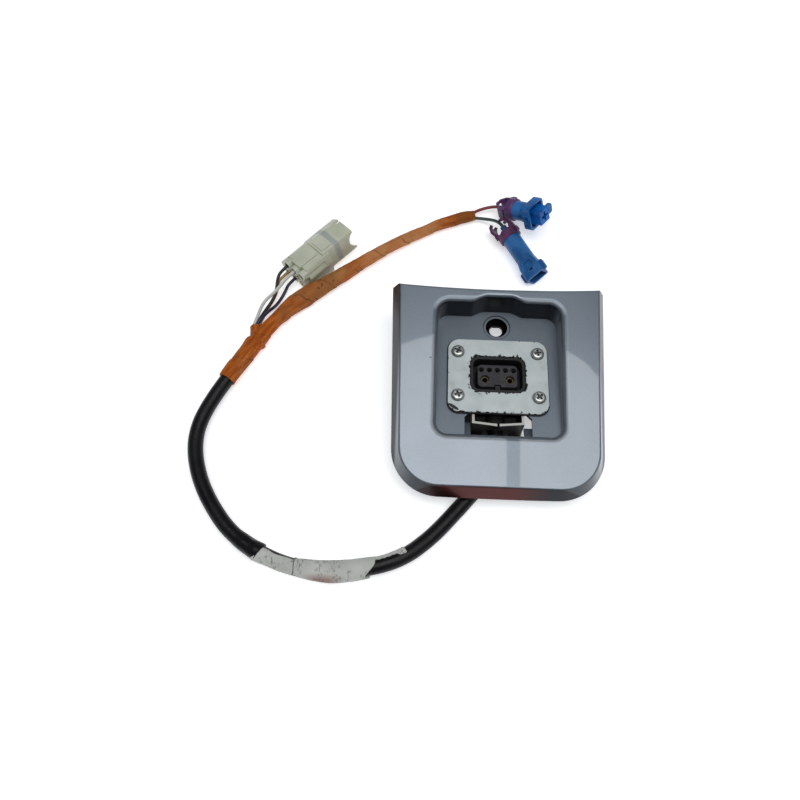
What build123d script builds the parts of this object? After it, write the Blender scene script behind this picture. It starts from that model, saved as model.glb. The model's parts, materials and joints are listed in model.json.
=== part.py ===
"""Wiring harness with a panel socket: a painted cover with a recessed 7-way socket, its guarded
cable, a sealed 6-way connector on a branch and two small 2-way connectors with hinged rear caps.

Millimetres. +Z is up, +X to the right, +Y away from the user. The origin is on the table, under
the middle of the cover, and every height is measured from the table."""

import os
from math import cos, pi, radians, sin, tan

from build123d import *

# Stack of the socket, from the top of the clamp plate down
SOCKET_Y = 9.88
PLATE_TOP = 24.0
PLATE_T = 1.2
GASKET_T = 1.3
FLOOR_T = 2.5
FLOOR_TOP = PLATE_TOP - PLATE_T - GASKET_T
FLOOR_LOW = FLOOR_TOP - FLOOR_T

# Clearances
SEAT_GAP = 0.3
RUN_GAP = 0.07
SWING_GAP = 0.35

# Panel cover, measured along and across its sloping face
FACE_SLOPE = 7.8
FACE_HEIGHT = 32.5
RIM_DEPTH = 9.5
SIDE_LEAN = 26.5
COVER_WALL = 2.5
RIM_HALF_TOP = 65.2
RIM_HALF_LOW = 61.3
RIM_TOP = 53.9
RIM_LOW = -75.3
LOW_BULGE = 1.0
LOW_CORNER = 28.0
END_RADIUS = 721.0
END_MIDDLE = 50.8
CROWN_RADIUS = 1500.0
CROWN_RISE = 0.6
FACE_EDGE_ROUND = 1.8

# Well in the cover
WELL_HALF = 36.7
WELL_TOP = 41.3
WELL_LOW = -39.9
WELL_CORNER = 7.0
WELL_DRAFT = 1.3
WELL_MOUTH_ROUND = 2.4
BUMP_HALF = 15.5
BUMP_TOP_HALF = 8.5
BUMP_RISE = 3.6
BUMP_SHOULDER = 6.0
BUMP_ROUND = 9.0

# Window below the plate, with its sloping gussets
WINDOW_HALF = 19.8
WINDOW_TOP = -23.2
WINDOW_CHAMFER = 4.2
CROSS_RIBS_Y = (-24.0, 6.0, 32.0)
NEAR_RIBS_X = (-30.0, 0.0, 30.0)
NEAR_RIB_REACH = 40.0
RIB_T = 1.4
GUSSET_T = 2.0
GUSSET_DROP = 5.7
GUSSET_LENGTHS = {-1: 12.0, 1: 9.5}

# Counterbored fixing hole at the head of the well
FIXING_Y = 34.1
FIXING_STEP = 16.6
FIXING_STEP_DEPTH = 0.6
FIXING_BORE = 13.4
FIXING_BORE_DEPTH = 4.5
FIXING_HOLE = 8.0
FIXING_WEB = 2.0
FIXING_FLAT = 3.3
FIXING_BOSS = 19.0

# Clamp plate, gasket and their screws
PLATE_WIDTH = 59.8
PLATE_DEPTH = 48.4
PLATE_Y = -0.8
PLATE_CORNER = 7.0
GASKET_PROUD = 0.5
SCREW_X = 24.0
SCREW_Y = 14.6
SCREW_D = 4.0
SCREW_HOLE = 4.6
HEAD_D = 8.0
HEAD_H = 2.4
CROSS_LENGTH = 4.6
CROSS_WIDTH = 1.3
CROSS_DEPTH = 1.7
SCREW_LENGTH = 13.0

# Socket
APERTURE_WIDTH = 33.5
APERTURE_DEPTH = 24.4
APERTURE_Y = 0.3
APERTURE_CORNER = 5.6
TOWER_BELOW_PLATE = 0.6
TOWER_WALL = 1.8
FLANGE_T = 3.0
FLANGE_MARGIN = 5.0
WELL_OF_SOCKET = 12.0
INSERT_WIDTH = 24.1
INSERT_DEPTH = 14.9
INSERT_CORNER = 2.4
INSERT_BELOW_PLATE = 2.4
KEY_WIDTH = 3.6
KEY_DEPTH = 1.5
SIGNAL_PITCH = 4.85
SIGNAL_Y = 4.2
SIGNAL_HOLE = 3.1
SIGNAL_D = 2.6
SIGNAL_BORE = 1.5
POWER_X = 7.5
POWER_Y = -2.1
POWER_HOLE = 5.2
POWER_D = 4.7
POWER_BORE = 3.0
CONTACT_SETBACK = 1.6
SEAL_T = 1.6

# Rear shell of the socket, with ears on the four screws
REAR_WIDTH = 38.0
REAR_DEPTH = 32.0
REAR_CORNER = 5.0
REAR_WALL = 2.0
EAR_D = 9.4
EAR_H = 7.0
NUT_D = 6.0
NUT_H = 5.0

# Sheet guard in front of the rear shell
GUARD_HALF = 15.3
GUARD_T = 1.5
GUARD_FRONT = -31.0
GUARD_TOP_BELOW_FLOOR = 0.4
GUARD_STEP = -24.0
TAB_ANGLE = 5.5
SEAM_GAP = 0.35
NOTCH_HALF = 2.3
NOTCH_DEPTH = 5.0
ARCH_HALF = 8.2
ARCH_TOP = 14.2
RIVET_X = 10.5
RIVET_Z = 12.2
RIVET_D = 3.2
RIVET_HEAD = 5.6

# Main cable and its boot
CABLE_D = 9.2
CABLE_Z = 6.5
BOOT_D = 12.8
BOOT_TIP_D = 10.8
BOOT_LENGTH = 12.0
BOOT_FLANGE_D = 14.0
BOOT_FLANGE_T = 1.5


def rounded_plate(width, depth, corner, thickness):
    """A plate with rounded corners, from its own Z = 0 upwards."""
    return extrude(RectangleRounded(width, depth, corner), thickness)


def at_screws():
    """The four screw places, as locations about the socket's centre."""
    return [Pos(sx * SCREW_X, sy * SCREW_Y) for sx in (-1, 1) for sy in (-1, 1)]


os.makedirs("parts", exist_ok=True)


def write(shape, name):
    """Names a piece and writes it."""
    shape.label = name
    export_step(shape, f"parts/{name}.step")


socket = Pos(0, SOCKET_Y)

# Panel cover
# A moulded cover whose face slopes down to the user: leaning side walls, a slightly hollow
# far end, large near corners, and a deep well with a flat floor that is level with the table.
slope = radians(FACE_SLOPE)
face_plane = Plane(
    origin=(0, SOCKET_Y, FACE_HEIGHT), x_dir=(1, 0, 0), z_dir=(0, -sin(slope), cos(slope))
)
rim_plane = face_plane.offset(-RIM_DEPTH)
OVERRUN = 14.0


def cover_outline(inset):
    """The rim's outline, longer than the cover at its far end, drawn smaller by the inset."""
    side = (RIM_HALF_TOP - RIM_HALF_LOW) / (RIM_TOP - RIM_LOW)
    far = RIM_TOP + OVERRUN
    half_far = RIM_HALF_TOP + side * OVERRUN - inset
    half_low = RIM_HALF_LOW - inset
    low = RIM_LOW + inset
    edges = Line((half_low, low), (half_far, far))
    edges += Line((half_far, far), (-half_far, far))
    edges += Line((-half_far, far), (-half_low, low))
    edges += ThreePointArc((-half_low, low), (0, low - LOW_BULGE), (half_low, low))
    face = make_face(edges)
    return fillet(face.vertices().sort_by(Axis.Y)[:2], LOW_CORNER - inset)


def cover_block(inset, height):
    """The leaning block over the rim's outline, with its hollow far end."""
    block = extrude(rim_plane * cover_outline(inset), height, taper=SIDE_LEAN)
    end = Pos(0, END_MIDDLE + END_RADIUS, 0) * Cylinder(END_RADIUS + inset, 4 * RIM_DEPTH)
    return block - rim_plane * end


def crown_block():
    """Everything under the slightly crowned face."""
    drum = Rot(90, 0, 0) * Cylinder(CROWN_RADIUS, 4 * RIM_HALF_TOP)
    return face_plane * (Pos(0, 0, CROWN_RISE - CROWN_RADIUS) * drum)


def well_outline():
    """The well's floor, with the arched bump at its head."""
    points = [
        (-WELL_HALF, WELL_LOW),
        (WELL_HALF, WELL_LOW),
        (WELL_HALF, WELL_TOP),
        (BUMP_HALF, WELL_TOP),
        (BUMP_TOP_HALF, WELL_TOP + BUMP_RISE),
        (-BUMP_TOP_HALF, WELL_TOP + BUMP_RISE),
        (-BUMP_HALF, WELL_TOP),
        (-WELL_HALF, WELL_TOP),
    ]
    face = make_face(Polyline(*points, close=True))
    face = fillet(face.vertices().filter_by(lambda v: abs(v.X) > WELL_HALF - 1), WELL_CORNER)
    bump_top = face.vertices().filter_by(lambda v: v.Y > WELL_TOP + BUMP_RISE / 2)
    face = fillet(bump_top, BUMP_ROUND)
    shoulders = face.vertices().filter_by(lambda v: abs(abs(v.X) - BUMP_HALF) < 0.1)
    return fillet(shoulders, BUMP_SHOULDER)


crown = crown_block()
cavity_wall = COVER_WALL / cos(radians(SIDE_LEAN))
outer = cover_block(0, RIM_DEPTH + 2 * CROWN_RISE) & crown
cavity = cover_block(cavity_wall, RIM_DEPTH - COVER_WALL)
well_base = socket * Pos(0, 0, FLOOR_LOW)
well_reach = FACE_HEIGHT - FLOOR_LOW + RIM_HALF_TOP * tan(slope)
well_wall = extrude(well_base * offset(well_outline(), COVER_WALL), well_reach) & crown
well_space = extrude(
    socket * Pos(0, 0, FLOOR_TOP) * well_outline(), well_reach, taper=-WELL_DRAFT
)

ribs = Part()
for rib_y in CROSS_RIBS_Y:
    ribs += socket * Pos(0, rib_y, FACE_HEIGHT) * Box(2.2 * RIM_HALF_TOP, RIB_T, 4 * RIM_DEPTH)
for rib_x in NEAR_RIBS_X:
    rib = Box(RIB_T, NEAR_RIB_REACH, 4 * RIM_DEPTH, align=(Align.CENTER, Align.MAX, Align.CENTER))
    ribs += socket * Pos(rib_x, WELL_LOW, FACE_HEIGHT) * rib
rib_room = Box(6 * RIM_HALF_TOP, 6 * RIM_HALF_TOP, 2 * RIM_DEPTH)
rib_room = rim_plane.offset(COVER_WALL) * Pos(0, 0, RIM_DEPTH) * rib_room
ribs = (ribs & cavity & rib_room) - well_wall

cover = (outer - cavity) + well_wall + ribs - well_space


def crowned_face(shape):
    """The one face that follows the crown."""
    faces = shape.faces().filter_by(GeomType.CYLINDER)
    return faces.filter_by(lambda f: abs(f.radius - CROWN_RADIUS) < 1).sort_by(SortBy.AREA)[-1]


cover = fillet(crowned_face(cover).inner_wires()[0].edges(), WELL_MOUTH_ROUND)
cover = fillet(crowned_face(cover).outer_wire().edges(), FACE_EDGE_ROUND)

fixing = socket * Pos(0, FIXING_Y, FLOOR_TOP)
boss_h = FIXING_BORE_DEPTH + FIXING_WEB
boss_align = (Align.CENTER, Align.CENTER, Align.MAX)
cover += (fixing * Cylinder(FIXING_BOSS / 2, boss_h, align=boss_align)) & crown
cover -= fixing * Cylinder(FIXING_STEP / 2, FIXING_STEP_DEPTH, align=boss_align)
cover -= fixing * Cylinder(FIXING_BORE / 2, FIXING_BORE_DEPTH, align=boss_align)
hole = Circle(FIXING_HOLE / 2) & Pos(0, -FIXING_HOLE + FIXING_FLAT) * Rectangle(
    2 * FIXING_HOLE, 2 * FIXING_HOLE
)
cover -= extrude(fixing * hole, -2 * boss_h)

window_low = WELL_LOW - 0.01
window = make_face(
    Polyline(
        (-WINDOW_HALF, window_low),
        (WINDOW_HALF, window_low),
        (WINDOW_HALF, WINDOW_TOP - WINDOW_CHAMFER),
        (WINDOW_HALF - WINDOW_CHAMFER, WINDOW_TOP),
        (WINDOW_CHAMFER - WINDOW_HALF, WINDOW_TOP),
        (-WINDOW_HALF, WINDOW_TOP - WINDOW_CHAMFER),
        close=True,
    )
)
below_floor = socket * Pos(0, 0, FLOOR_LOW)
cover -= extrude(below_floor * Pos(0, 0, -1) * window, FLOOR_T + 1)
tower_hole = Pos(0, APERTURE_Y) * RectangleRounded(
    APERTURE_WIDTH + 2 * SEAT_GAP, APERTURE_DEPTH + 2 * SEAT_GAP, APERTURE_CORNER
)
cover -= extrude(below_floor * Pos(0, 0, -1) * tower_hole, FLOOR_T + 2)
for place in at_screws():
    cover -= below_floor * place * Cylinder(SCREW_HOLE / 2, 4 * FLOOR_T)
for side, length in GUSSET_LENGTHS.items():
    slant = Polyline(
        (WELL_LOW - COVER_WALL / 2, 1.2),
        (WELL_LOW + length, -GUSSET_DROP + 1.2),
        (WELL_LOW + length, -GUSSET_DROP + 1.2 - GUSSET_T),
        (WELL_LOW - COVER_WALL, -GUSSET_T / 2),
        (WELL_LOW - COVER_WALL, 0.5),
        close=True,
    )
    inner_x = GUARD_HALF + 2 * SEAT_GAP
    gusset = extrude(Plane.YZ * make_face(slant), WINDOW_HALF + COVER_WALL - inner_x)
    shift = inner_x if side > 0 else -WINDOW_HALF - COVER_WALL
    cover += below_floor * Pos(shift, 0, 0) * gusset
write(cover, "panel_cover")

# Gasket, clamp plate and screws
# The plate is sheet steel, painted, and it clamps a rubber gasket to the floor of the well.
aperture = Pos(0, APERTURE_Y) * RectangleRounded(
    APERTURE_WIDTH, APERTURE_DEPTH, APERTURE_CORNER
)


def clamped(width, depth, thickness, z):
    """A plate on the floor of the well, with the aperture and the four screw holes."""
    blank = Pos(0, PLATE_Y) * RectangleRounded(width, depth, PLATE_CORNER)
    blank -= aperture
    for place in at_screws():
        blank -= place * Circle(SCREW_HOLE / 2)
    return extrude(socket * Pos(0, 0, z) * blank, thickness)


gasket = clamped(
    PLATE_WIDTH + 2 * GASKET_PROUD, PLATE_DEPTH + 2 * GASKET_PROUD, GASKET_T, FLOOR_TOP
)
write(gasket, "plate_gasket")
plate = clamped(PLATE_WIDTH, PLATE_DEPTH, PLATE_T, PLATE_TOP - PLATE_T)
write(plate, "clamp_plate")


def pan_screw():
    """A pan-head screw with a cross recess, its seat at Z = 0."""
    head = Cylinder(HEAD_D / 2, HEAD_H, align=(Align.CENTER, Align.CENTER, Align.MIN))
    head = fillet(head.edges().sort_by(Axis.Z)[-1], 0.8 * HEAD_H)
    arm = Pos(0, 0, HEAD_H - CROSS_DEPTH / 2) * Box(CROSS_LENGTH, CROSS_WIDTH, CROSS_DEPTH)
    head -= arm + Rot(0, 0, 90) * arm
    shank = Cylinder(SCREW_D / 2, SCREW_LENGTH, align=boss_align)
    return head + shank


SCREW_TURNS = (20, 65, 40, 10)
screws = [
    socket * Pos(0, 0, PLATE_TOP) * place * Rot(0, 0, turn) * pan_screw()
    for place, turn in zip(at_screws(), SCREW_TURNS)
]
write(Compound(children=screws), "plate_screws")

# Socket body
# One moulding: a flange under the floor, and a tower that stands up through the aperture with
# the well for the mating plug.
tower_w = APERTURE_WIDTH - 2 * SEAT_GAP
tower_d = APERTURE_DEPTH - 2 * SEAT_GAP
tower_top = PLATE_TOP - TOWER_BELOW_PLATE
flange_low = FLOOR_LOW - FLANGE_T
flange = RectangleRounded(
    2 * SCREW_X + 2 * FLANGE_MARGIN, 2 * SCREW_Y + 2 * FLANGE_MARGIN, PLATE_CORNER
)
for place in at_screws():
    flange -= place * Circle(SCREW_HOLE / 2)
body = extrude(socket * Pos(0, 0, flange_low) * flange, FLANGE_T)
tower = socket * Pos(0, APERTURE_Y, tower_top - WELL_OF_SOCKET)
body += tower * rounded_plate(tower_w, tower_d, APERTURE_CORNER - SEAT_GAP, WELL_OF_SOCKET)
well_w = tower_w - 2 * TOWER_WALL
well_d = tower_d - 2 * TOWER_WALL
well_floor = tower_top - WELL_OF_SOCKET + TOWER_WALL
socket_well = rounded_plate(well_w, well_d, APERTURE_CORNER - TOWER_WALL, WELL_OF_SOCKET)
body -= socket * Pos(0, APERTURE_Y, well_floor) * socket_well
stem_w = INSERT_WIDTH + 2 * SEAT_GAP
stem_d = INSERT_DEPTH + 2 * SEAT_GAP
body -= socket * Pos(0, APERTURE_Y, well_floor - 2 * TOWER_WALL) * rounded_plate(
    stem_w, stem_d, INSERT_CORNER, 3 * TOWER_WALL
)
key_low = APERTURE_Y - well_d / 2
key = Box(
    KEY_WIDTH - 2 * SEAT_GAP,
    well_d / 2 - INSERT_DEPTH / 2 + KEY_DEPTH - SEAT_GAP + 1,
    WELL_OF_SOCKET - TOWER_WALL - INSERT_BELOW_PLATE,
    align=(Align.CENTER, Align.MIN, Align.MIN),
)
body += socket * Pos(0, key_low - 1, well_floor) * key
write(body, "socket_body")

# Contact insert
# A block with five small and two large contact holes and a key slot on its near side.
insert_top = PLATE_TOP - INSERT_BELOW_PLATE
insert_low = well_floor - TOWER_WALL - SEAL_T
insert_h = insert_top - insert_low
signal_x = [SIGNAL_PITCH * (i - 2) for i in range(5)]
signal_places = [(x, SIGNAL_Y) for x in signal_x]
power_places = [(-POWER_X, POWER_Y), (POWER_X, POWER_Y)]
block = Pos(0, APERTURE_Y) * RectangleRounded(INSERT_WIDTH, INSERT_DEPTH, INSERT_CORNER)
block -= Pos(0, APERTURE_Y - INSERT_DEPTH / 2) * Rectangle(KEY_WIDTH, 2 * KEY_DEPTH)
for x, y in signal_places:
    block -= Pos(x, y) * Circle(SIGNAL_HOLE / 2)
for x, y in power_places:
    block -= Pos(x, y) * Circle(POWER_HOLE / 2)
insert = extrude(socket * Pos(0, 0, insert_low) * block, insert_h)
insert = chamfer(insert.faces().sort_by(Axis.Z)[-1].outer_wire().edges(), 0.4)
write(insert, "contact_insert")

# Seal at the foot of the insert, which also spaces it off the flange
seal = Pos(0, APERTURE_Y) * RectangleRounded(
    well_w - SEAT_GAP, well_d - SEAT_GAP, APERTURE_CORNER - TOWER_WALL
)
seal -= Pos(0, APERTURE_Y) * RectangleRounded(stem_w, stem_d, INSERT_CORNER + SEAT_GAP)
seal -= Pos(0, APERTURE_Y - INSERT_DEPTH / 2) * Rectangle(KEY_WIDTH, 4 * KEY_DEPTH)
write(extrude(socket * Pos(0, 0, well_floor) * seal, SEAL_T), "socket_seal")


def contact(outside, bore, length):
    """A turned socket contact with a crimp groove, its mouth at the top."""
    tube = Cylinder(outside / 2, length, align=boss_align)
    tube -= Cylinder(bore / 2, 0.7 * length, align=boss_align)
    groove = Pos(0, 0, -0.85 * length) * Torus(outside / 2 + 0.25, 0.5)
    return tube - groove


contact_top = insert_top - CONTACT_SETBACK
contact_l = insert_h - CONTACT_SETBACK + 3
signals = [
    socket * Pos(x, y, contact_top) * contact(SIGNAL_D, SIGNAL_BORE, contact_l)
    for x, y in signal_places
]
write(Compound(children=signals), "signal_contacts")
powers = [
    socket * Pos(x, y, contact_top) * contact(POWER_D, POWER_BORE, contact_l)
    for x, y in power_places
]
write(Compound(children=powers), "power_contacts")

# Rear shell
# A deep moulded cap under the flange. Its ears take the four screws in pressed nuts, and the
# cable leaves through its near wall.
rear_top = flange_low
rear = socket * rounded_plate(REAR_WIDTH, REAR_DEPTH, REAR_CORNER, rear_top)
for place in at_screws():
    ear = Cylinder(EAR_D / 2, EAR_H, align=boss_align)
    rear += socket * Pos(0, 0, rear_top) * place * ear
    arm_w = SCREW_X - REAR_WIDTH / 2 + 2
    arm = Pos(0, 0, -EAR_H / 2) * Box(arm_w, EAR_D * 0.6, EAR_H)
    x = place.position.X
    inward = -arm_w / 2 if x > 0 else arm_w / 2
    reach = Pos(x + inward, place.position.Y * 0.88, rear_top)
    rear += socket * reach * arm
inside = rounded_plate(
    REAR_WIDTH - 2 * REAR_WALL, REAR_DEPTH - 2 * REAR_WALL, REAR_CORNER - REAR_WALL, rear_top
)
rear -= socket * Pos(0, 0, REAR_WALL) * inside
for place in at_screws():
    top = socket * Pos(0, 0, rear_top) * place
    rear -= top * Cylinder(SCREW_HOLE / 2, 3 * EAR_H)
    rear -= top * Pos(0, 0, -EAR_H) * Cylinder(
        NUT_D / 2, NUT_H, align=(Align.CENTER, Align.CENTER, Align.MIN)
    )
rear_front = -REAR_DEPTH / 2
cable_axis = Plane(origin=(0, SOCKET_Y + rear_front, CABLE_Z), x_dir=(1, 0, 0), z_dir=(0, -1, 0))
rear -= cable_axis * Cylinder(BOOT_D / 2 - 1.5 + SEAT_GAP, 4 * REAR_WALL)
for side in (-1, 1):
    spot = Pos(side * RIVET_X, RIVET_Z - CABLE_Z, 0)
    rear -= cable_axis * spot * Cylinder(RIVET_D / 2, 4 * REAR_WALL)
write(rear, "rear_shell")

# Pressed nuts in the ears
nut = Cylinder(NUT_D / 2 - 0.02, NUT_H, align=(Align.CENTER, Align.CENTER, Align.MIN))
nut -= Cylinder(SCREW_D / 2 + 0.02, 3 * NUT_H)
nuts = [socket * Pos(0, 0, rear_top - EAR_H) * place * nut for place in at_screws()]
write(Compound(children=nuts), "pressed_nuts")

# Cable guard
# One strip of sheet folded into a box around the cable: a back wall riveted to the rear shell,
# two sides, and two front tabs that bow out a little where they meet in a notched seam.
guard_top = FLOOR_TOP - GUARD_TOP_BELOW_FLOOR
guard_back = rear_front - GUARD_T
side_length = guard_back - GUARD_FRONT + GUARD_T


def wall(width, thickness):
    """An upright strip as high as the guard, from its corner along +X."""
    align = (Align.MIN, Align.MAX, Align.MIN)
    return Box(width, thickness, guard_top, align=align)


guard = Pos(-GUARD_HALF, rear_front, 0) * wall(2 * GUARD_HALF, GUARD_T)
guard -= Pos(0, rear_front, CABLE_Z) * Rot(90, 0, 0) * Cylinder(
    BOOT_D / 2 + SEAT_GAP - 1.5, 6 * GUARD_T
)
for side in (-1, 1):
    rivet_hole = Pos(side * RIVET_X, rear_front, RIVET_Z) * Rot(90, 0, 0)
    guard -= rivet_hole * Cylinder(RIVET_D / 2, 6 * GUARD_T)
flank = Pos(-GUARD_HALF, GUARD_FRONT, 0) * Box(
    GUARD_T, side_length, guard_top, align=(Align.MIN, Align.MIN, Align.MIN)
)
tab_w = (GUARD_HALF - SEAM_GAP / 2) / cos(radians(TAB_ANGLE))
tab = wall(tab_w, GUARD_T)
notch = Plane.XZ * make_face(
    Polyline(
        (tab_w + 1, guard_top + 1),
        (tab_w - NOTCH_HALF, guard_top + 1),
        (tab_w - NOTCH_HALF, guard_top),
        (tab_w, guard_top - NOTCH_DEPTH),
        (tab_w + 1, guard_top - NOTCH_DEPTH),
        close=True,
    )
)
tab -= extrude(notch, 3 * GUARD_T, both=True)
arch = Pos(GUARD_HALF, 0, 0) * Box(
    2 * ARCH_HALF, 6 * GUARD_T, 2 * ARCH_TOP, align=(Align.CENTER, Align.CENTER, Align.CENTER)
)
arch = fillet(arch.edges().filter_by(Axis.Y).group_by(Axis.Z)[-1], ARCH_HALF * 0.8)
tab -= arch
tab = Pos(-GUARD_HALF, GUARD_FRONT + GUARD_T, 0) * Rot(0, 0, -TAB_ANGLE) * tab
half = flank + tab
guard += half + mirror(half, about=Plane.YZ)
under_flange = Pos(0, GUARD_STEP, flange_low - SEAT_GAP) * Box(
    4 * GUARD_HALF, 40, 40, align=(Align.CENTER, Align.MIN, Align.MIN)
)
guard = socket * (guard - under_flange)
write(guard, "cable_guard")


def rivet():
    """A rivet along its own Z, with a domed head outside the sheet at Z = 0."""
    head = Pos(0, 0, 0) * Cylinder(
        RIVET_HEAD / 2, 1.2, align=(Align.CENTER, Align.CENTER, Align.MIN)
    )
    head = fillet(head.edges().sort_by(Axis.Z)[-1], 0.9)
    return head + Cylinder(RIVET_D / 2 - 0.05, GUARD_T + REAR_WALL, align=boss_align)


rivet_plane = cable_axis.offset(GUARD_T)
rivets = [
    rivet_plane * Pos(side * RIVET_X, RIVET_Z - CABLE_Z, 0) * rivet() for side in (-1, 1)
]
write(Compound(children=rivets), "guard_rivets")

# Cable boot
# A rubber boot pushed through the guard and the rear shell, tapering along the cable.
boot_seat = cable_axis.offset(GUARD_T)
neck_r = BOOT_D / 2 - 1.5
boot = Cylinder(neck_r, GUARD_T + REAR_WALL, align=boss_align)
boot += Cylinder(
    BOOT_FLANGE_D / 2 - 1, BOOT_FLANGE_T, align=(Align.CENTER, Align.CENTER, Align.MIN)
)
boot += Cone(
    BOOT_D / 2 - 0.2, BOOT_TIP_D / 2, BOOT_LENGTH, align=(Align.CENTER, Align.CENTER, Align.MIN)
)
for ring in range(3):
    boot -= Pos(0, 0, 3.5 + 2.6 * ring) * (
        Cylinder(BOOT_D, 1.0) - Cylinder(BOOT_TIP_D / 2 + 0.05 - 0.15 * ring, 1.0)
    )
boot -= Cylinder(CABLE_D / 2 - 0.6, 4 * BOOT_LENGTH)
write(boot_seat * boot, "cable_boot")
boot_end_y = SOCKET_Y + rear_front - GUARD_T - BOOT_LENGTH


# Cords
# Each is laid along straight runs with the largest tangent arcs that its runs allow.
def bend_radii(points):
    """The arc at each corner: 0.45 of the shorter run over the tangent of half the turn."""
    radii = []
    for before, here, after in zip(points, points[1:], points[2:]):
        into = Vector(*here) - Vector(*before)
        out = Vector(*after) - Vector(*here)
        half_turn = radians(into.get_angle(out)) / 2
        radii.append(0.45 * min(into.length, out.length) / tan(half_turn))
    return radii


def cord_path(points):
    """Straight runs joined by tangent arcs."""
    return FilletPolyline(*points, radius=bend_radii(points))


def swept(path, diameter, bore=0):
    """A round section carried along a path, hollow where it is wound over another cord."""
    ring = Circle(diameter / 2)
    if bore:
        ring -= Circle(bore / 2)
    return sweep(Plane(origin=path @ 0, z_dir=path % 0) * ring, path=path)


def stretch(points, first, last):
    """The path of a route from the middle of the run before one corner to that after another."""
    start = (Vector(*points[first - 1]) + Vector(*points[first])) / 2
    end = (Vector(*points[last]) + Vector(*points[last + 1])) / 2
    corners = points[first : last + 1]
    return FilletPolyline(start, *corners, end, radius=bend_radii(points)[first - 1 : last])


def cord_tube(points, diameter):
    """A round cord along its route."""
    path = cord_path(points)
    return swept(path, diameter)


def lay(points, diameter, name):
    """Writes a cord and prints what its route comes to."""
    tube = cord_tube(points, diameter)
    path = cord_path(points)
    section = pi * diameter**2 / 4
    radii = bend_radii(points)
    print(
        name,
        "length", round(path.length, 1),
        "least radius", round(min(radii), 1) if radii else None,
        "volume ratio", round(tube.volume / (section * path.length), 4),
    )
    write(tube, name)


# Main cable, from the boot to the start of the taped loom. It rests on the paper wraps that are
# wound round it, so it stands a little off the table there.
WRAP_Z = 6.4
WRAP_BORE = CABLE_D + 0.04
WIDE_WRAP_D = 12.6
NARROW_WRAP_D = 10.1
SLEEVE_ROUTE = [
    (0, boot_end_y, CABLE_Z),
    (0, -36.5, CABLE_Z),
    (-8.5, -52.5, 5.0),
    (-22.0, -68.6, 4.8),
    (-37.0, -86.0, 5.4),
    (-54.5, -100.0, WRAP_Z),
    (-78.5, -106.6, WRAP_Z),
    (-97.5, -108.2, WRAP_Z),
    (-122.0, -104.4, WRAP_Z),
    (-148.5, -90.6, 4.9),
    (-164.5, -72.5, 4.7),
    (-176.0, -52.0, 4.7),
    (-181.0, -30.0, 4.7),
    (-176.0, -9.0, 5.4),
    (-166.5, 9.0, 5.4),
]
lay(SLEEVE_ROUTE, CABLE_D, "cable_sleeve")
write(swept(stretch(SLEEVE_ROUTE, 6, 7), WIDE_WRAP_D, WRAP_BORE), "paper_wrap")
write(swept(stretch(SLEEVE_ROUTE, 8, 8), NARROW_WRAP_D, WRAP_BORE), "paper_wrap_end")

# Taped loom, from the end of the sleeve to the branch and on to the two small connectors
LOOM_D = 10.6
LOOM_Z = 5.4
LOOM_ROUTE = [
    (-166.5, 9.0, LOOM_Z),
    (-157.0, 27.0, LOOM_Z),
    (-144.5, 49.0, LOOM_Z),
    (-129.0, 67.5, LOOM_Z),
    (-109.0, 83.0, LOOM_Z),
    (-90.5, 98.0, LOOM_Z),
]
lay(LOOM_ROUTE, LOOM_D, "loom_tape")
LOOM_END_D = 7.6
LOOM_END_Z = 4.0
LOOM_END_ROUTE = [
    (-90.5, 98.0, LOOM_Z),
    (-72.0, 113.0, LOOM_Z),
    (-50.5, 127.0, LOOM_END_Z),
    (-31.0, 138.5, LOOM_END_Z),
    (-12.0, 144.5, LOOM_END_Z),
]
lay(LOOM_END_ROUTE, LOOM_END_D, "loom_tape_end")

# Branch of the loom
# A short taper of tape that leads four wires off the loom to the sealed connector.
BRANCH_FOOT = (-151.2, 38.4, 5.8)
BRANCH_END = (-153.3, 47.4, 5.6)
BRANCH_FOOT_D = 9.6
BRANCH_END_D = 6.4
WIRE_D = 2.1
WIRE_PITCH = 2.4
branch_out = Vector(*BRANCH_END) - Vector(*BRANCH_FOOT)
branch_plane = Plane(
    origin=BRANCH_FOOT, x_dir=Vector(0, 0, 1).cross(branch_out), z_dir=branch_out
)
from_rear = (Align.CENTER, Align.CENTER, Align.MIN)
branch = branch_plane * Cone(
    BRANCH_FOOT_D / 2, BRANCH_END_D / 2, branch_out.length, align=from_rear
)
write(branch, "branch_tape")

# Sealed 6-way connector
# A natural nylon pin housing along its own +X: six round wire entries behind, a stepped body
# with chamfered corners, and a deep mouth with hollowed sides.
SEALED_AT = (-131.5, 86.0, 9.2)
SEALED_TURN = 48.5
SEALED_REAR_W = 20.6
SEALED_REAR_H = 14.6
SEALED_W = 23.6
SEALED_H = 18.0
SEALED_STEP = 16.0
SEALED_LENGTH = 47.0
SEALED_CHAMFER_W = 5.6
SEALED_CHAMFER_H = 4.6
SEALED_CORNER = 2.0
SEALED_WALL = 1.7
SEALED_FLOOR = 27.0
MOUTH_SEAL_T = 0.8
MOUTH_SEAL_LENGTH = 3.0
ENTRY_PITCH_Y = 6.7
ENTRY_PITCH_Z = 7.2
ENTRY_D = 6.9
ENTRY_BORE = 4.6
ENTRY_DEPTH = 9.0
WIRE_SEAL_LENGTH = 5.0
PIN_W = 1.8
PIN_T = 0.8
PIN_START = 6.0
PIN_SETBACK = 6.0
MOUTH_BITE = 6.4
NOTCH_SETBACK = 3.2
sealed = Pos(*SEALED_AT) * Rot(0, 0, SEALED_TURN)


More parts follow.
